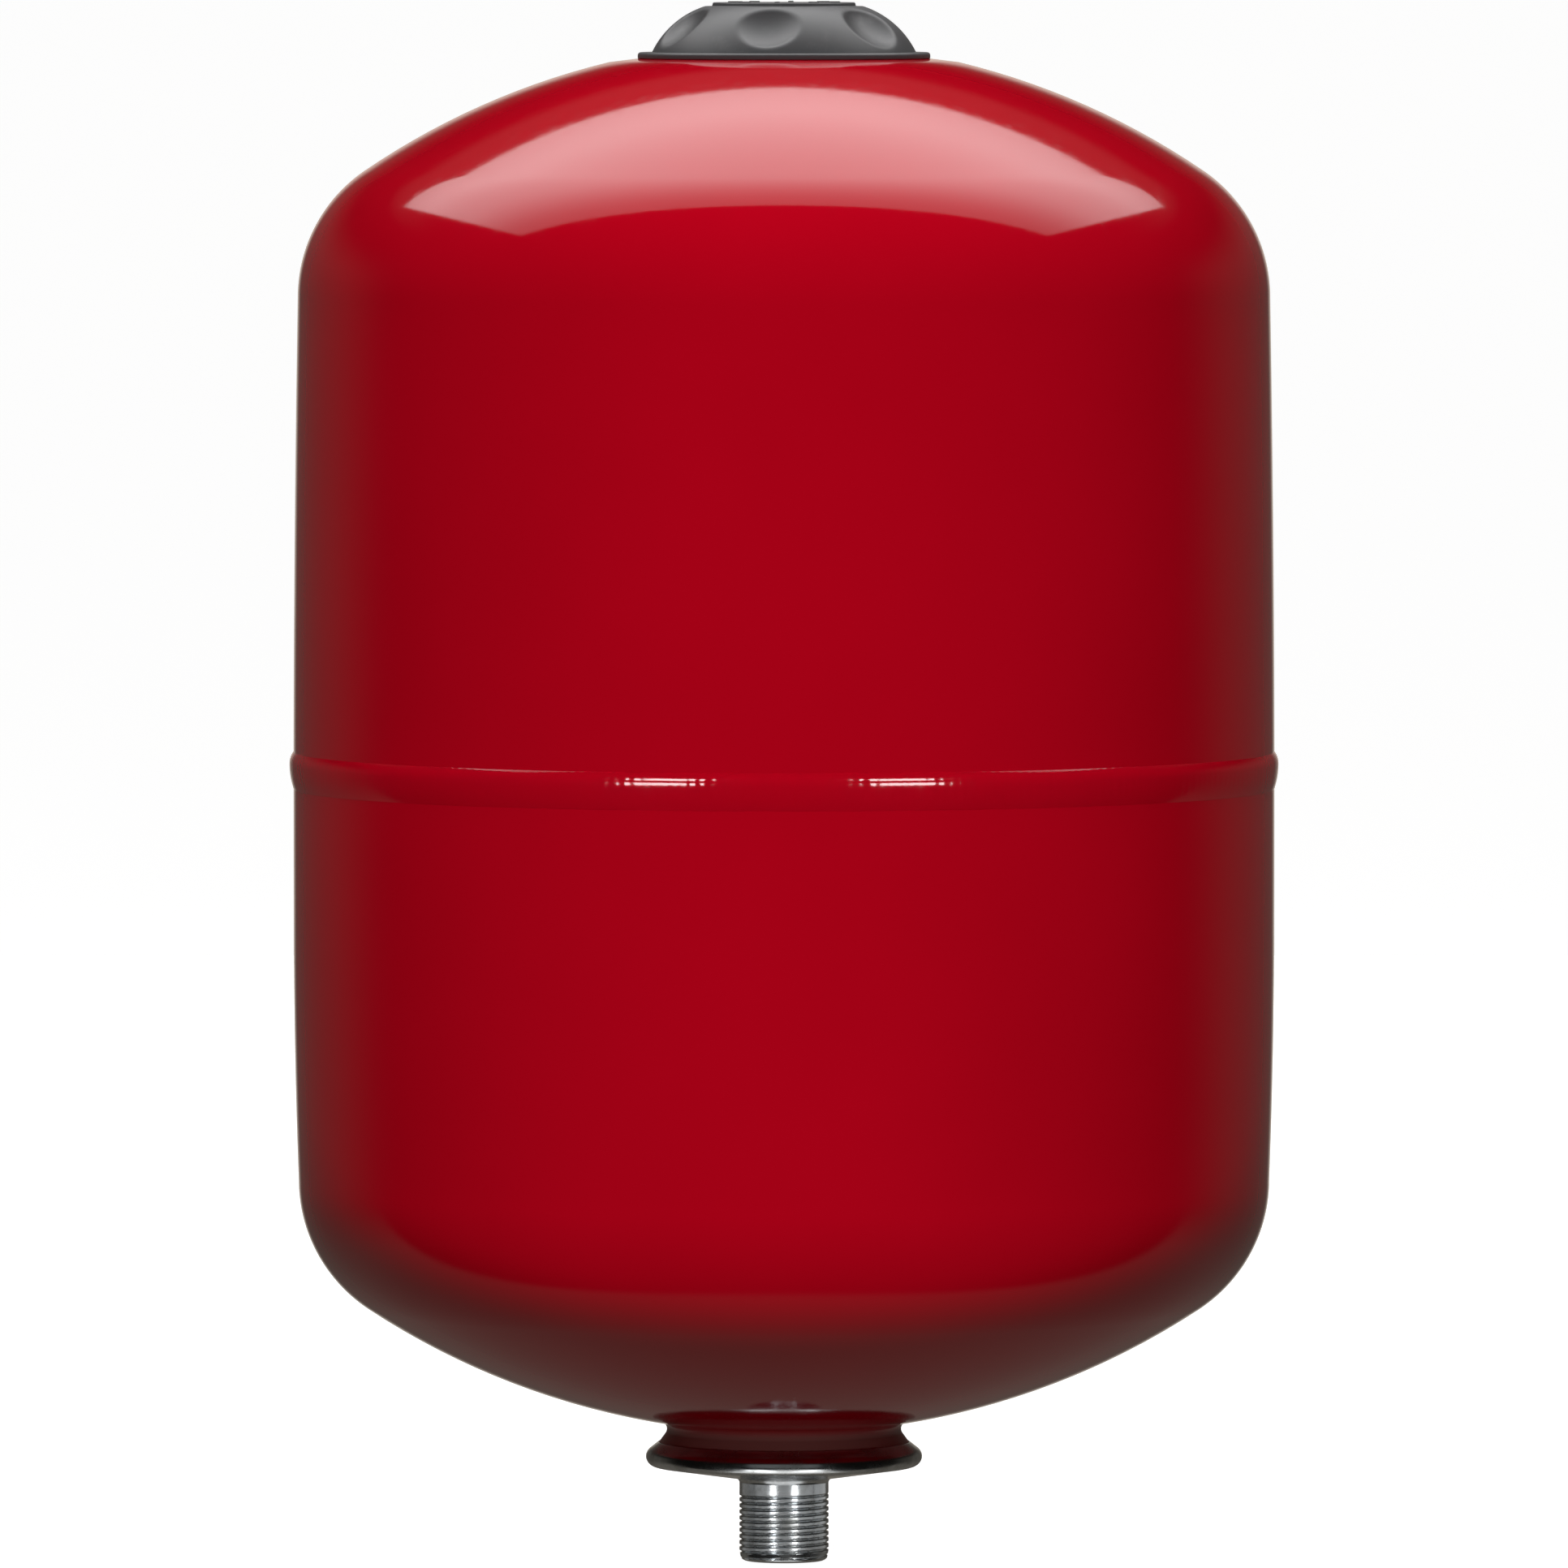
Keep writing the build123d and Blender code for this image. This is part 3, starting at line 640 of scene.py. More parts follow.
def weld_outline():
    lap = BODY_RADIUS - SHEET - LAP_GAP
    above, above_radius, above_angle = swell(WELD_TOP_Z - WELD_CREST_Z)
    below, below_radius, below_angle = swell(WELD_CREST_Z - WELD_BOTTOM_Z)
    root = [*JOGGLE, (lap, UPPER_EDGE_Z), (BODY_RADIUS, UPPER_EDGE_Z)]
    upward = arc(above, above_radius, above_angle, 0, 3)
    return root + upward + arc(below, below_radius, 0, -below_angle, 1)


def ripple_tree(material):
    tree = Builder("weld_ripples", {"Spacing": 0.003, "Depth": 0.0001, "Seed": 7})
    place, outward, turns, height = tree.radial()
    ripples = turns * (2 * math.pi * BODY_RADIUS * MM) / tree.input("Spacing")
    uneven = tree.node("ShaderNodeTexNoise", {"noise_dimensions": "4D"},
                       {"Vector": place, "W": tree.input("Seed"), "Scale": 90.0, "Detail": 2.0})
    wave = tree.maths("SINE", (ripples + uneven * 1.6) * (2 * math.pi))
    crest = tree.ramp(height, WELD_BOTTOM_Z * MM, (WELD_BOTTOM_Z + 4) * MM)
    dip = (wave * 0.5 - 0.5) * crest * tree.input("Depth") * uneven
    tree.close(tree.push(tree.input("Geometry"), outward, dip), material)
    return tree


bead = turn("girth_weld_bead", weld_outline(), enamel, spokes=1800)
apply_tree(bead, ripple_tree(enamel), Spacing=0.0031, Depth=0.00007, Seed=7)
stand_for(bead, "girth_weld", "vessel")

# %% [markdown]
# ## The crimped flange plate
# The plate is dished like a saucer. Its rim is rolled up and over the collar in a press, which traps
# the bladder's lip. A Bevel on a plain disc's edge could round it, but an arc in the turned section
# keeps the roll's exact radius. The lip is thinned to a soft edge, and ends on the collar's slope.

# %% Flange plate
PLATE = 1.5
DISH = 8.45
RIM = (37.95, 31.0)
RIM_RADIUS = 2.95
LIP_ANGLE = 52.0
LIP_LENGTH = 3.6
LIP_COVER = 0.45
LIP_GAP = 0.04
SPIGOT = 11.5


def plate_under(radius):
    """Height of the dished underside at a radius."""
    foot = along(RIM, DISH - 90, RIM_RADIUS)
    return foot[1] - (foot[0] - radius) * math.tan(math.radians(DISH))


def plate_top(radius):
    return plate_under(radius) + PLATE / math.cos(math.radians(DISH))


def plate_outline():
    bore = RIM_RADIUS - PLATE
    lip_end = along(along(RIM, LIP_ANGLE, RIM_RADIUS), LIP_ANGLE + 90, LIP_LENGTH)
    collar_end = along(along(NECK, 180 + COLLAR_ANGLE, NECK_FILLET), 270 + COLLAR_ANGLE, COLLAR_LENGTH)
    collar_side = along(collar_end, COLLAR_ANGLE, LIP_GAP)
    lip_under = along(collar_side, 90 + COLLAR_ANGLE, COLLAR_LENGTH * LIP_COVER)
    lip = rounded((*along(RIM, LIP_ANGLE, RIM_RADIUS), 0), (*lip_end, 0.15), (*lip_under, 0.1),
                  (*collar_side, 0), (RIM[0] + bore, RIM[1] + 1.0, 0))
    under = subdivided([(SPIGOT, plate_under(SPIGOT)), along(RIM, DISH - 90, RIM_RADIUS)], 3.0)
    roll = arc(RIM, RIM_RADIUS, DISH - 90, LIP_ANGLE, 5)
    inner = arc(RIM, bore, 0, DISH - 90, 12)
    return under + roll + lip + inner + [(SPIGOT, plate_top(SPIGOT))]


plate = turn("crimped_flange_plate", plate_outline(), zinc)
stand_for(plate, "flange_plate", "vessel")

# %% [markdown]
# ## The threaded nipple
# A pipe thread is the plainest example of a shape that follows a rule: the depth at any point
# depends only on its height and angle, because one turn climbs one pitch. So the nipple is turned
# plain, with close rows, and Geometry Nodes cut the groove where the rule says.

# %% Nipple section and thread rule
NIPPLE_RADIUS = 13.2
NIPPLE_BORE = 9.75
CREST = 13.2205
ROOT = 12.0585
PITCH = 25.4 / 14
THREAD_TOP_Z = 20.4
SHOULDER_TOP_Z = 23.3
LEAD_IN = 2.6
NOSE = 2.2
ROW = 0.11
SEAT_RADIUS = NIPPLE_RADIUS - 0.7
CUT_SHARE = 0.62
CREST_SHARE = 0.42
RUN_OUT = 1.3


def nipple_outline():
    seat = plate_under(SPIGOT)
    top = plate_top(SPIGOT) + 0.6
    end = [(NIPPLE_BORE, 0.6), (NIPPLE_BORE + 0.25, 0.15), (NIPPLE_BORE + 0.6, 0.0)]
    nose = arc((CREST - NOSE, NOSE), NOSE, -90, -35, 9)
    flank = subdivided([nose[-1], (CREST, LEAD_IN + 0.6), (CREST, THREAD_TOP_Z)], ROW)
    shoulder = [(NIPPLE_RADIUS, THREAD_TOP_Z + 0.3), (NIPPLE_RADIUS, SHOULDER_TOP_Z), (SEAT_RADIUS, seat),
                (SPIGOT, seat), (SPIGOT, top), (NIPPLE_BORE, top)]
    return end + nose + flank + shoulder + [(NIPPLE_BORE, 12.0)]


def thread_tree(material):
    depth = CUT_SHARE * (CREST - ROOT)
    tree = Builder("pipe_thread", {"Pitch": PITCH * MM, "Depth": depth * MM, "Top": THREAD_TOP_Z * MM,
                                   "Inner Limit": (ROOT - 0.8) * MM})
    place, outward, turns, height = tree.radial()
    radius = tree.node("ShaderNodeVectorMath", {"operation": "DOT_PRODUCT"}, {0: place, 1: outward},
                       output="Value")
    phase = tree.maths("FRACT", height / tree.input("Pitch") - turns)
    wedge = tree.maths("ABSOLUTE", phase - 0.5) * 2.0
    groove = tree.ramp(wedge, CREST_SHARE, 1.0)
    envelope = (CREST * MM) - tree.input("Depth") * groove
    outer = radius > tree.input("Inner Limit")
    run_out = 1.0 - tree.ramp(height, tree.input("Top") - RUN_OUT * MM, tree.input("Top"))
    excess = tree.maths("MINIMUM", envelope - radius, 0.0)
    tree.close(tree.push(tree.input("Geometry"), outward, excess * outer * run_out), material)
    return tree


nipple = turn("threaded_nipple_turned", nipple_outline(), zinc, spokes=192)
apply_tree(nipple, thread_tree(zinc), Pitch=PITCH * MM)
stand_for(nipple, "threaded_nipple", "vessel")

# %% Weld fillet between nipple and plate
def fillet_outline():
    seat = plate_under(SPIGOT)
    edge = NIPPLE_RADIUS + 0.8
    face = rounded((NIPPLE_RADIUS, SHOULDER_TOP_Z, 0), (NIPPLE_RADIUS + 0.15, SHOULDER_TOP_Z + 0.4, 0.3),
                   (edge, plate_under(edge), 0))
    return face + [(SEAT_RADIUS, plate_under(SEAT_RADIUS)), (SEAT_RADIUS, seat)]


fillet = turn("nipple_weld_fillet", fillet_outline(), zinc, spokes=360)
stand_for(fillet, "nipple_weld", "vessel")

# %% [markdown]
# ## The bladder
# Sealed inside, the bladder never shows, but it is a real moulded bag. Its smooth outline is turned.

# %% Bladder
BLADDER_WALL = 2.2
BLADDER_RADIUS = 100.0
BLADDER_NECK = 33.0
BLADDER_LOW_Z, BLADDER_HIGH_Z = 140.0, 250.0
LIP_SOLE = 0.3


def bladder_outline():
    inner = BLADDER_RADIUS - BLADDER_WALL
    cap = (0, BLADDER_HIGH_Z)
    neck_bore = BLADDER_NECK - BLADDER_WALL
    neck_top_z = NECK[1] + 10
    lip = [(radius, plate_top(radius) + LIP_SOLE) for radius in (neck_bore, 37.2)]
    lip += [(38.9, 31.2), (38.5, 32.0), (37.6, 32.1), (34.05, 36.95)]
    lip += [(BLADDER_NECK - 0.3, NECK[1] + 1), (BLADDER_NECK - 0.3, neck_top_z)]
    quarter = [math.pi / 2 * k / 20 for k in range(1, 21)]
    shoulder = [(BLADDER_NECK + (BLADDER_RADIUS - BLADDER_NECK) * math.sin(angle),
                 neck_top_z + (BLADDER_LOW_Z - neck_top_z) * (1 - math.cos(angle))) for angle in quarter]
    inner_shoulder = [(x - BLADDER_WALL * 0.8, z + BLADDER_WALL * 0.6) for x, z in shoulder]
    return (lip + shoulder + arc(cap, BLADDER_RADIUS, 0, 90, 3) + arc(cap, inner, 90, 0, 3)
            + inner_shoulder[::-1] + [(neck_bore, NECK[1] + 12)])


bag = turn("rubber_bladder", bladder_outline(), bag_rubber, spokes=180)
stand_for(bag, "bladder", "vessel")

# %% [markdown]
# ## The valve cover
# A thin brim, a dome with six finger dimples and a raised disc. A dimple is the mark of a ball
# pressed into the dome. Each point of the dome that a ball would reach is pushed back to the ball's
# surface, with a smooth maximum in place of a hard one, which rolls the rim over as moulding does.

# %% Cover section
COVER_WALL = 2.2
COVER_BOTTOM_Z = 444.65
COVER_DISC = 21.0
COVER_DISC_Z = 461.2
COVER_SHOULDER_Z = 460.1
DOME = 26.35
DOME_CENTRE = (15.3, 435.0)
BRIM_RADIUS = 43.2
BRIM_TOP_Z = 446.5
FOOT_INNER = 35.2
FOOT_TOP_Z = 447.3
COLLAR_BORE = 24.4
COLLAR_OUTER = 26.4
COLLAR_TOP_Z = 458.2
GROOVE_OUTER, GROOVE_INNER, GROOVE_TOP_Z = 38.9, 36.1, 446.25


def dome_angle(radius, height):
    return math.degrees(math.asin((height - DOME_CENTRE[1]) / radius))


def cover_outline():
    ceiling = COVER_DISC_Z - COVER_WALL
    inner = DOME - COVER_WALL
    shoulder = DOME_CENTRE[0] + math.sqrt(DOME**2 - (COVER_SHOULDER_Z - DOME_CENTRE[1]) ** 2)
    disc = rounded((0, COVER_DISC_Z, 0), (COVER_DISC, COVER_DISC_Z, 0.5),
                   (COVER_DISC + 0.25, COVER_SHOULDER_Z, 0.25), (shoulder, COVER_SHOULDER_Z, 0))
    dome = arc(DOME_CENTRE, DOME, dome_angle(DOME, COVER_SHOULDER_Z), dome_angle(DOME, BRIM_TOP_Z), 0.7)
    brim = rounded((*dome[-1], 0), (BRIM_RADIUS, BRIM_TOP_Z, 0.9), (BRIM_RADIUS, COVER_BOTTOM_Z, 0.2),
                   (GROOVE_OUTER, COVER_BOTTOM_Z, 0))
    groove = [(GROOVE_OUTER, GROOVE_TOP_Z), (GROOVE_INNER, GROOVE_TOP_Z), (GROOVE_INNER, COVER_BOTTOM_Z),
              (FOOT_INNER, COVER_BOTTOM_Z), (FOOT_INNER, FOOT_TOP_Z)]
    collar_angle = math.degrees(math.acos((COLLAR_OUTER - DOME_CENTRE[0]) / inner))
    hollow = arc(DOME_CENTRE, inner, dome_angle(inner, FOOT_TOP_Z), collar_angle, 1.0)
    collar = [(COLLAR_OUTER, FOOT_TOP_Z - 1.3), (COLLAR_BORE, FOOT_TOP_Z - 1.3),
              (COLLAR_BORE, COLLAR_TOP_Z), (COLLAR_BORE - 0.8, ceiling), (0, ceiling)]
    return subdivided(disc, 1.0) + dome + brim + groove + hollow + collar


print("cover section of", len(cover_outline()), "points")

# %% Finger dimples
DIMPLES = 6
BALL = 18.0
DIMPLE_DEPTH = 3.5
DIMPLE_TILT = math.radians(41)
DIMPLE_TURN = -98
RIM_SOFTNESS = 0.9
DIMPLES_FROM, DIMPLES_TO = COLLAR_OUTER - 4, 41.5


def ball_centres():
    reach = DOME - DIMPLE_DEPTH + BALL
    out = DOME_CENTRE[0] + reach * math.sin(DIMPLE_TILT)
    height = DOME_CENTRE[1] + reach * math.cos(DIMPLE_TILT)
    turns = [math.radians(DIMPLE_TURN + 360 / DIMPLES * k) for k in range(DIMPLES)]
    return [Vector((out * math.cos(a), out * math.sin(a), height)) for a in turns]


def smooth_max(value, limit, softness):
    """The larger of two numbers, rounded over where they are close."""
    near = max(softness - abs(value - limit), 0.0) / softness
    return max(value, limit) + near * near * softness / 4


def press_dimples(piece):
    centres = ball_centres()
    pressed = 0
    for vertex in piece.data.vertices:
        place = vertex.co / MM
        across = math.hypot(place.x, place.y)
        if across < DIMPLES_FROM or across > DIMPLES_TO or place.z < BRIM_TOP_Z + 0.3:
            continue
        from_dome = math.hypot(across - DOME_CENTRE[0], place.z - DOME_CENTRE[1])
        outside = from_dome > DOME - 0.5 * COVER_WALL
        if place.z > COVER_SHOULDER_Z + 0.05 or (not outside and from_dome < DOME - COVER_WALL - 0.2):
            continue
        limit = BALL if outside else BALL + COVER_WALL
        for centre in centres:
            away = place - centre
            distance = away.length
            if distance < limit + RIM_SOFTNESS:
                moved = smooth_max(distance, limit, RIM_SOFTNESS)
                place = centre + away * (moved / distance)
                pressed += 1
        vertex.co = place * MM
    piece.data.update()
    print("pressed", pressed, "points into", DIMPLES, "dimples")


cover = turn("valve_cover_moulding", cover_outline(), black_plastic, spokes=432)
press_dimples(cover)
smooth(cover.data, math.radians(45))
stand_for(cover, "valve_cover", "cover")

# %% [markdown]
# ## Raised marks and thread ridges of the cover
# The disc carries a plain ring of short raised bars, a generic turning mark, and the collar inside
# has three helical ridges that grip the base. Both repeat round the axis, so one of each is made in
# mesh code and Geometry Nodes place a turned copy at every point of a circle.

# %% A ring of copies
def ring_tree(material, model):
    tree = Builder("copies_round_the_axis", {"Count": 8, "Radius": 0.01, "Height": 0.0, "First Turn": 0.0})
    circle = tree.node("GeometryNodeMeshCircle", None,
                       {"Vertices": tree.input("Count"), "Radius": tree.input("Radius")})
    index = tree.node("GeometryNodeInputIndex")
    spin = tree.node("ShaderNodeCombineXYZ", None, {"Z": index * (2 * math.pi) / tree.input("Count")})
    original = tree.node("GeometryNodeObjectInfo", None, {"Object": model}, output="Geometry")
    copies = tree.node("GeometryNodeInstanceOnPoints", None,
                       {"Points": circle, "Instance": original, "Rotation": spin})
    lift = tree.node("ShaderNodeCombineXYZ", None, {"Z": tree.input("Height")})
    first = tree.node("ShaderNodeCombineXYZ", None, {"Z": tree.input("First Turn")})
    placed = tree.node("GeometryNodeTransform", None,
                       {"Geometry": copies, "Translation": lift, "Rotation": first})
    tree.close(placed, material)
    return tree


def ring_of(name, model, **values):
    """Repeat a model round the axis as one piece of the cover, and drop the model."""
    piece = bpy.data.objects.new(name, bpy.data.meshes.new(name))
    bpy.context.scene.collection.objects.link(piece)
    apply_tree(piece, ring_tree(black_plastic, model), **values)
    bpy.data.objects.remove(model)
    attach(piece, "cover")
    print(name, len(piece.data.polygons), "faces")


def tube(name, rings):
    """Join rings of points, in millimetres, into one closed mesh."""
    shape = bmesh.new()
    loops = [[shape.verts.new(Vector(point) * MM) for point in ring] for ring in rings]
    for loop, following in zip(loops, loops[1:]):
        for k in range(len(loop)):
            after = (k + 1) % len(loop)
            shape.faces.new([loop[k], loop[after], following[after], following[k]])
    shape.faces.new(loops[0][::-1])
    shape.faces.new(loops[-1])
    bmesh.ops.recalc_face_normals(shape, faces=shape.faces)
    return piece_from(name, shape, black_plastic)


# %% Raised bars
def soft_bar(length, width, height):
    """A low bar with rounded ends and edges, drawn as three rings."""
    rings = []
    for inset, level in ((0.0, -0.3), (0.0, height * 0.55), (width * 0.14, height)):
        half = width / 2 - inset
        run = length / 2 - width / 2
        rings.append([(middle + half * math.cos(math.radians(start - 180 * k / 8)),
                       half * math.sin(math.radians(start - 180 * k / 8)), level)
                      for middle, start in ((run, 90), (-run, 270)) for k in range(9)])
    return tube("soft_bar", rings)


MARK_CIRCLE = 14.5
ring_of("cover_marks", soft_bar(4.5, 1.2, 0.35), Count=8, Radius=MARK_CIRCLE * MM, Height=COVER_DISC_Z * MM,
        First_Turn=math.radians(DIMPLE_TURN))

# %% Thread ridges inside the collar
RIDGE = 1.2
RIDGE_LEAD = 12.0
RIDGE_TURNS = 0.28
RIDGE_START_Z = 448.5 - 1.6 + RIDGE_LEAD / 36


def thread_ridge(steps=48):
    """One start of the thread, a low ridge that climbs a lead each turn and tapers at its ends."""
    rings = []
    for step in range(steps + 1):
        turned = RIDGE_TURNS * step / steps
        angle = 2 * math.pi * turned
        middle = RIDGE_START_Z + RIDGE_LEAD * turned
        crest = COLLAR_BORE - RIDGE * min(1.0, 0.25 + 0.15 * min(step, steps - step))
        below = [(COLLAR_BORE + 0.15, -0.65), (COLLAR_BORE - 0.25, -0.6), (crest, -0.4)]
        section = below + [(radius, -offset) for radius, offset in reversed(below)]
        rings.append([(radius * math.cos(angle), radius * math.sin(angle), middle + offset)
                      for radius, offset in section])
    return tube("thread_ridge", rings)


ring_of("cover_ridges", thread_ridge(), Count=3, Radius=0.0, Height=0.0, First_Turn=math.radians(10))

# %% [markdown]
# ## Finishes on the CAD pieces that stay
# The valve, the caps and the seals are right as they are, so they only take a finish.

# %% Give each kept node its finish
KEPT = {
    "valve_stem": brass, "valve_nut": brass, "core_body": brass, "core_pin": brass, "valve_washer": zinc,
    "core_spring": wire, "core_seal": polymer, "dust_cap": cap_plastic, "dust_cap_seal": seal_rubber,
    "core_poppet_seal": seal_rubber, "valve_grommet": seal_rubber, "cover_gasket": seal_rubber,
    "cover_base": black_plastic,
}
for node, finish in KEPT.items():
    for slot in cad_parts[node].material_slots:
        slot.material = finish
print("finished", len(KEPT), "CAD nodes")

# %% [markdown]
# ## The studio
# A large soft box hangs overhead and reaches behind the vessel, which draws the broad bright window
# on the top dome. Fills from high and low in front and one behind light the paint but stay out of
# its reflections, as if behind polarising film, and the low spot is flagged off below the bottom
# knuckle. Bare metal looks black with nothing to reflect, so even panels stand round the plated
# parts, and narrow strips to the left and right put the glints on them and on the weld bead. Light
# linking keeps each panel and strip to the pieces that it is for.

# %% Lamps
def lamp(name, size, place, target, watts, in_gloss=True, in_diffuse=True):
    light = bpy.data.lights.new(name, "AREA")
    light.shape = "RECTANGLE"
    light.size, light.size_y = size
    light.energy = watts
    light.cycles.use_multiple_importance_sampling = in_gloss
    return hang(light, place, target, in_gloss, in_diffuse)


def hang(light, place, target, in_gloss, in_diffuse=True):
    holder = bpy.data.objects.new(light.name, light)
    holder.location = place
    holder.rotation_euler = (Vector(target) - Vector(place)).to_track_quat("-Z", "Y").to_euler()
    holder.visible_camera = False
    holder.visible_glossy = in_gloss
    holder.visible_diffuse = in_diffuse
    bpy.context.scene.collection.objects.link(holder)
    return holder


def only_on(holder, pieces):
    """Let a lamp reach the given pieces only."""
    takers = bpy.data.collections.new(holder.name + "_takers")
    for piece in pieces:
        takers.objects.link(piece)
    holder.light_linking.receiver_collection = takers


print("lamp helpers ready")

# %% Soft box, brightest in its middle
def fade_soft_box(light):
    light.use_nodes = True
    graph = Graph(light.node_tree)
    across = graph.node("ShaderNodeNewGeometry", output="Parametric")
    back = graph.node("ShaderNodeSeparateXYZ", None, {0: across}).out("Y")
    level = 0.65 + graph.ramp(back, 0.0, 0.45) * 0.95 - graph.ramp(back, 0.70, 1.0) * 0.55
    graph.feed(light.node_tree.nodes["Emission"].inputs["Strength"], level)


TOP = cad_high.z
BOX_SIZE = (2.5, 1.40)
BOX_PLACE = (0, 0.40, TOP + 0.96)
BOX_TARGET = (0, 0.40, 0)
MIDDLE = (0, 0, 0.25)
soft_box = lamp("soft_box", BOX_SIZE, BOX_PLACE, BOX_TARGET, 21.0, in_diffuse=False)
fade_soft_box(soft_box.data)
lamp("soft_box_spill", BOX_SIZE, BOX_PLACE, BOX_TARGET, 20.0, in_gloss=False)
lamp("high_fill", (3.0, 2.0), (-0.10, -2.25, 2.85), MIDDLE, 75.0, in_gloss=False)
print("soft box", BOX_SIZE, "metres,", round(BOX_PLACE[2] - TOP, 2), "over the cover")


# %% Low fill, flagged off the bottom
KNUCKLE_FRONT_Y = -0.130


def flagged_fill(place, full_z, dark_z, watts, half_cone=40.0):
    """A spot whose cone ends across the bottom knuckle, fading between two heights there."""
    def rise(z):
        return math.degrees(math.atan2(z - place[2], KNUCKLE_FRONT_Y - place[1]))

    light = bpy.data.lights.new("low_fill", "SPOT")
    light.energy = watts
    light.shadow_soft_size = 0.004
    light.spot_size = math.radians(2 * half_cone)
    edge = math.cos(math.radians(half_cone))
    inner = math.cos(math.radians(half_cone - (rise(full_z) - rise(dark_z))))
    light.spot_blend = (inner - edge) / (1 - edge)
    light.cycles.use_multiple_importance_sampling = False
    aim = math.radians(rise(dark_z) + half_cone)
    target = Vector(place) + Vector((0, math.cos(aim), math.sin(aim)))
    return hang(light, place, target, in_gloss=False)


LOW_PLACE = (0, -3.8, -1.48)
lamp("back_fill", (2.4, 1.6), (0, 3.2, 0.55), MIDDLE, 55.0, in_gloss=False)
flagged_fill(LOW_PLACE, full_z=0.095, dark_z=0.062, watts=225.0)
lamp("low_haze", (1.5, 1.0), LOW_PLACE, (0, 0, 0.15), 19.0, in_gloss=False)
print("low fill at", LOW_PLACE)

# %% Glow and glints of the bare metal and the bead
NIPPLE_MIDDLE_Z = 0.02
PANEL_TARGET = (0, 0, 0.03)
NIPPLE_GLOWS = {-110: 0.22, -55: 0.36, 0: 0.34, 55: 0.42, 110: 0.42}
GLINT_AZIMUTH = 28


def around(azimuth, elevation, distance=3.0):
    """A place at an azimuth and elevation, in degrees, seen from the nipple."""
    swing, rise = math.radians(azimuth), math.radians(elevation)
    out = distance * math.cos(rise)
    return (out * math.sin(swing), -out * math.cos(swing), NIPPLE_MIDDLE_Z + distance * math.sin(rise))


def panel(name, size, place, level, takers):
    """A panel of even brightness, seen only in the gloss of some pieces."""
    watts = level * math.pi * size[0] * size[1]
    only_on(lamp(name, size, place, PANEL_TARGET, watts, in_diffuse=False), takers)


for azimuth, level in NIPPLE_GLOWS.items():
    panel(f"nipple_glow_{azimuth + 110}", (3.0, 2.2), around(azimuth, 8), level, [nipple, fillet])
panel("plated_glow_under", (3.0, 3.0), around(0, -70), 0.9, [plate, nipple, fillet])
panel("rim_glow", (3.4, 2.4), around(0, 0), 0.14, [plate])
for edge, side in (("left", -GLINT_AZIMUTH), ("right", GLINT_AZIMUTH)):
    panel("nipple_strip_" + edge, (0.62, 1.3), around(side, 9.0), 9.0, [nipple])
    panel("rim_strip_" + edge, (0.8, 1.6), around(side, -58.0), 2.2, [plate])
    panel("low_strip_" + edge, (0.82, 0.6), around(side, 7.5), 18.0, [bead])
    panel("high_strip_" + edge, (0.82, 0.6), around(side, 30.0, 3.3), 18.0, [bead])

# %% [markdown]
# ## The room's own colour
# Gloss shows the room. It is dark in front, a warm grey at the sides, brighter straight behind, and
# grey under and behind the vessel, where a table top would be. An image could light a room like
# this, but a few ramps of the direction are easier to tune. They give the wall its deep middle and
# soft grey edges, and the bottom dome its brown veil. The camera itself sees plain white.

# %% The room around it
SIDE_GLOW, BACK_GLOW, TABLE_GLOW, DARK_GLOW = 0.072, 0.5, 0.12, 0.004
TABLE_CURVE = 0.87


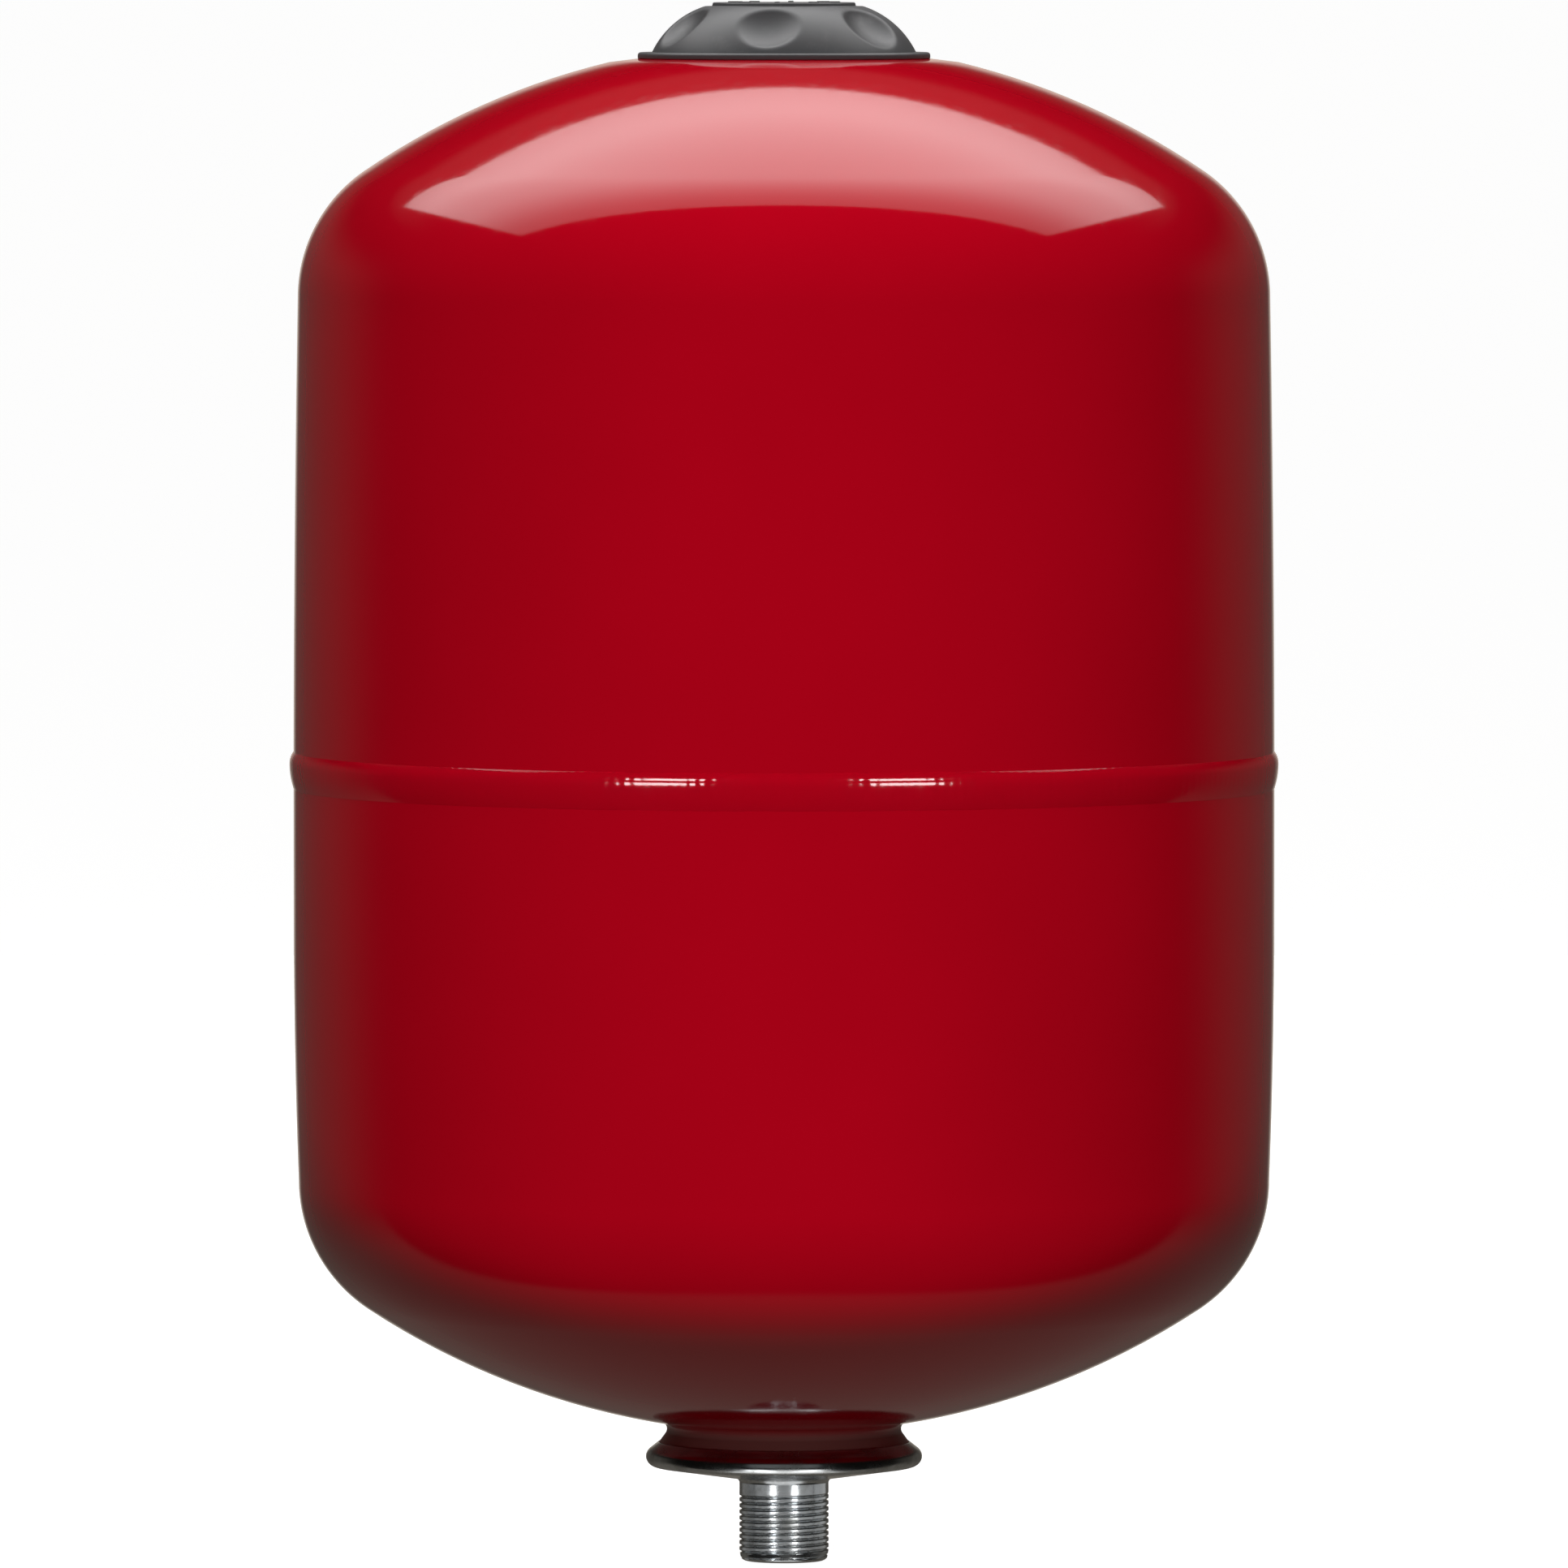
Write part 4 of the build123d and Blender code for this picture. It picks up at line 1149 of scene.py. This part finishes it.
def room():
    world = bpy.data.worlds.new("room")
    world.use_nodes = True
    graph = Graph(world.node_tree)
    facing = graph.node("ShaderNodeTexCoord", output="Generated")
    xyz = graph.node("ShaderNodeSeparateXYZ", None, {0: facing})
    back, up = xyz.out("Y"), xyz.out("Z")
    down = graph.ramp(up * -1.0, 0.10, 0.45)
    dark_band = graph.ramp(up, 0.12, 0.35) * (1.0 - graph.ramp(up, 0.46, 0.53))
    sides = graph.ramp(back, 0.20, 0.70) * (1.0 - dark_band) * SIDE_GLOW
    level = sides + graph.ramp(back, 0.972, 0.998) * BACK_GLOW
    table_edge = back - xyz.out("X") ** 2.0 * TABLE_CURVE
    table = graph.ramp(table_edge, -0.42, -0.28) * TABLE_GLOW
    glow = level * (1.0 - down) + table * down + DARK_GLOW
    colour = graph.node("ShaderNodeCombineXYZ", None, {"X": glow * 1.10, "Y": glow, "Z": glow * 0.86})
    seen = graph.node("ShaderNodeLightPath", output="Is Camera Ray")
    shown = graph.mix(seen, colour, (1.0, 1.0, 1.0, 1))
    background = world.node_tree.nodes["Background"]
    graph.feed(background.inputs["Color"], shown)
    bpy.context.scene.world = world


room()
print("room ready")

# %% [markdown]
# ## Floor and camera
# The floor is a plain pale sheet, pale from its own glow so that it stays even to the horizon. It is
# clear from underneath, so that the vessel can be looked at from below. The camera stands six
# metres off with a long lens, a little above the vessel's top, and looks at its middle.

# %% Floor
FLOOR_RADIUS = 120.0
FLOOR_GLOW = 0.97


def pale_floor():
    shape = bmesh.new()
    bmesh.ops.create_circle(shape, cap_ends=True, segments=96, radius=FLOOR_RADIUS)
    material = bpy.data.materials.new("pale_floor")
    material.use_nodes = True
    graph = Graph(material.node_tree)
    surface = material.node_tree.nodes["Principled BSDF"]
    surface.inputs["Roughness"].default_value = 0.9
    surface.inputs["Base Color"].default_value = (0.25, 0.25, 0.25, 1)
    surface.inputs["Emission Color"].default_value = (1, 1, 1, 1)
    surface.inputs["Emission Strength"].default_value = FLOOR_GLOW
    back = graph.node("ShaderNodeNewGeometry", output="Backfacing")
    clear = graph.node("ShaderNodeBsdfTransparent")
    both = graph.node("ShaderNodeMixShader", None, {0: back, 1: Wire(graph, surface.outputs[0]), 2: clear})
    graph.feed(material.node_tree.nodes["Material Output"].inputs["Surface"], both)
    floor = piece_from("pale_floor", shape, material)
    floor.visible_glossy = False
    floor.visible_diffuse = False
    floor.visible_shadow = False


pale_floor()
print("floor ready")

# %% Camera
EYE = Vector((0, -6.0, 0.510))
LOOK_AT = Vector((0, 0, 0.2302))
FRAME_WIDTH = 0.4637

camera_data = bpy.data.cameras.new("camera")
camera_data.sensor_width = 36.0
camera_data.lens = camera_data.sensor_width * (EYE - LOOK_AT).length / FRAME_WIDTH
camera = bpy.data.objects.new("camera", camera_data)
camera.location = EYE
camera.rotation_euler = (LOOK_AT - EYE).to_track_quat("-Z", "Y").to_euler()
bpy.context.scene.collection.objects.link(camera)
bpy.context.scene.camera = camera
bpy.context.scene.view_settings.view_transform = "Standard"
print(f"lens {camera_data.lens:.0f} mm")
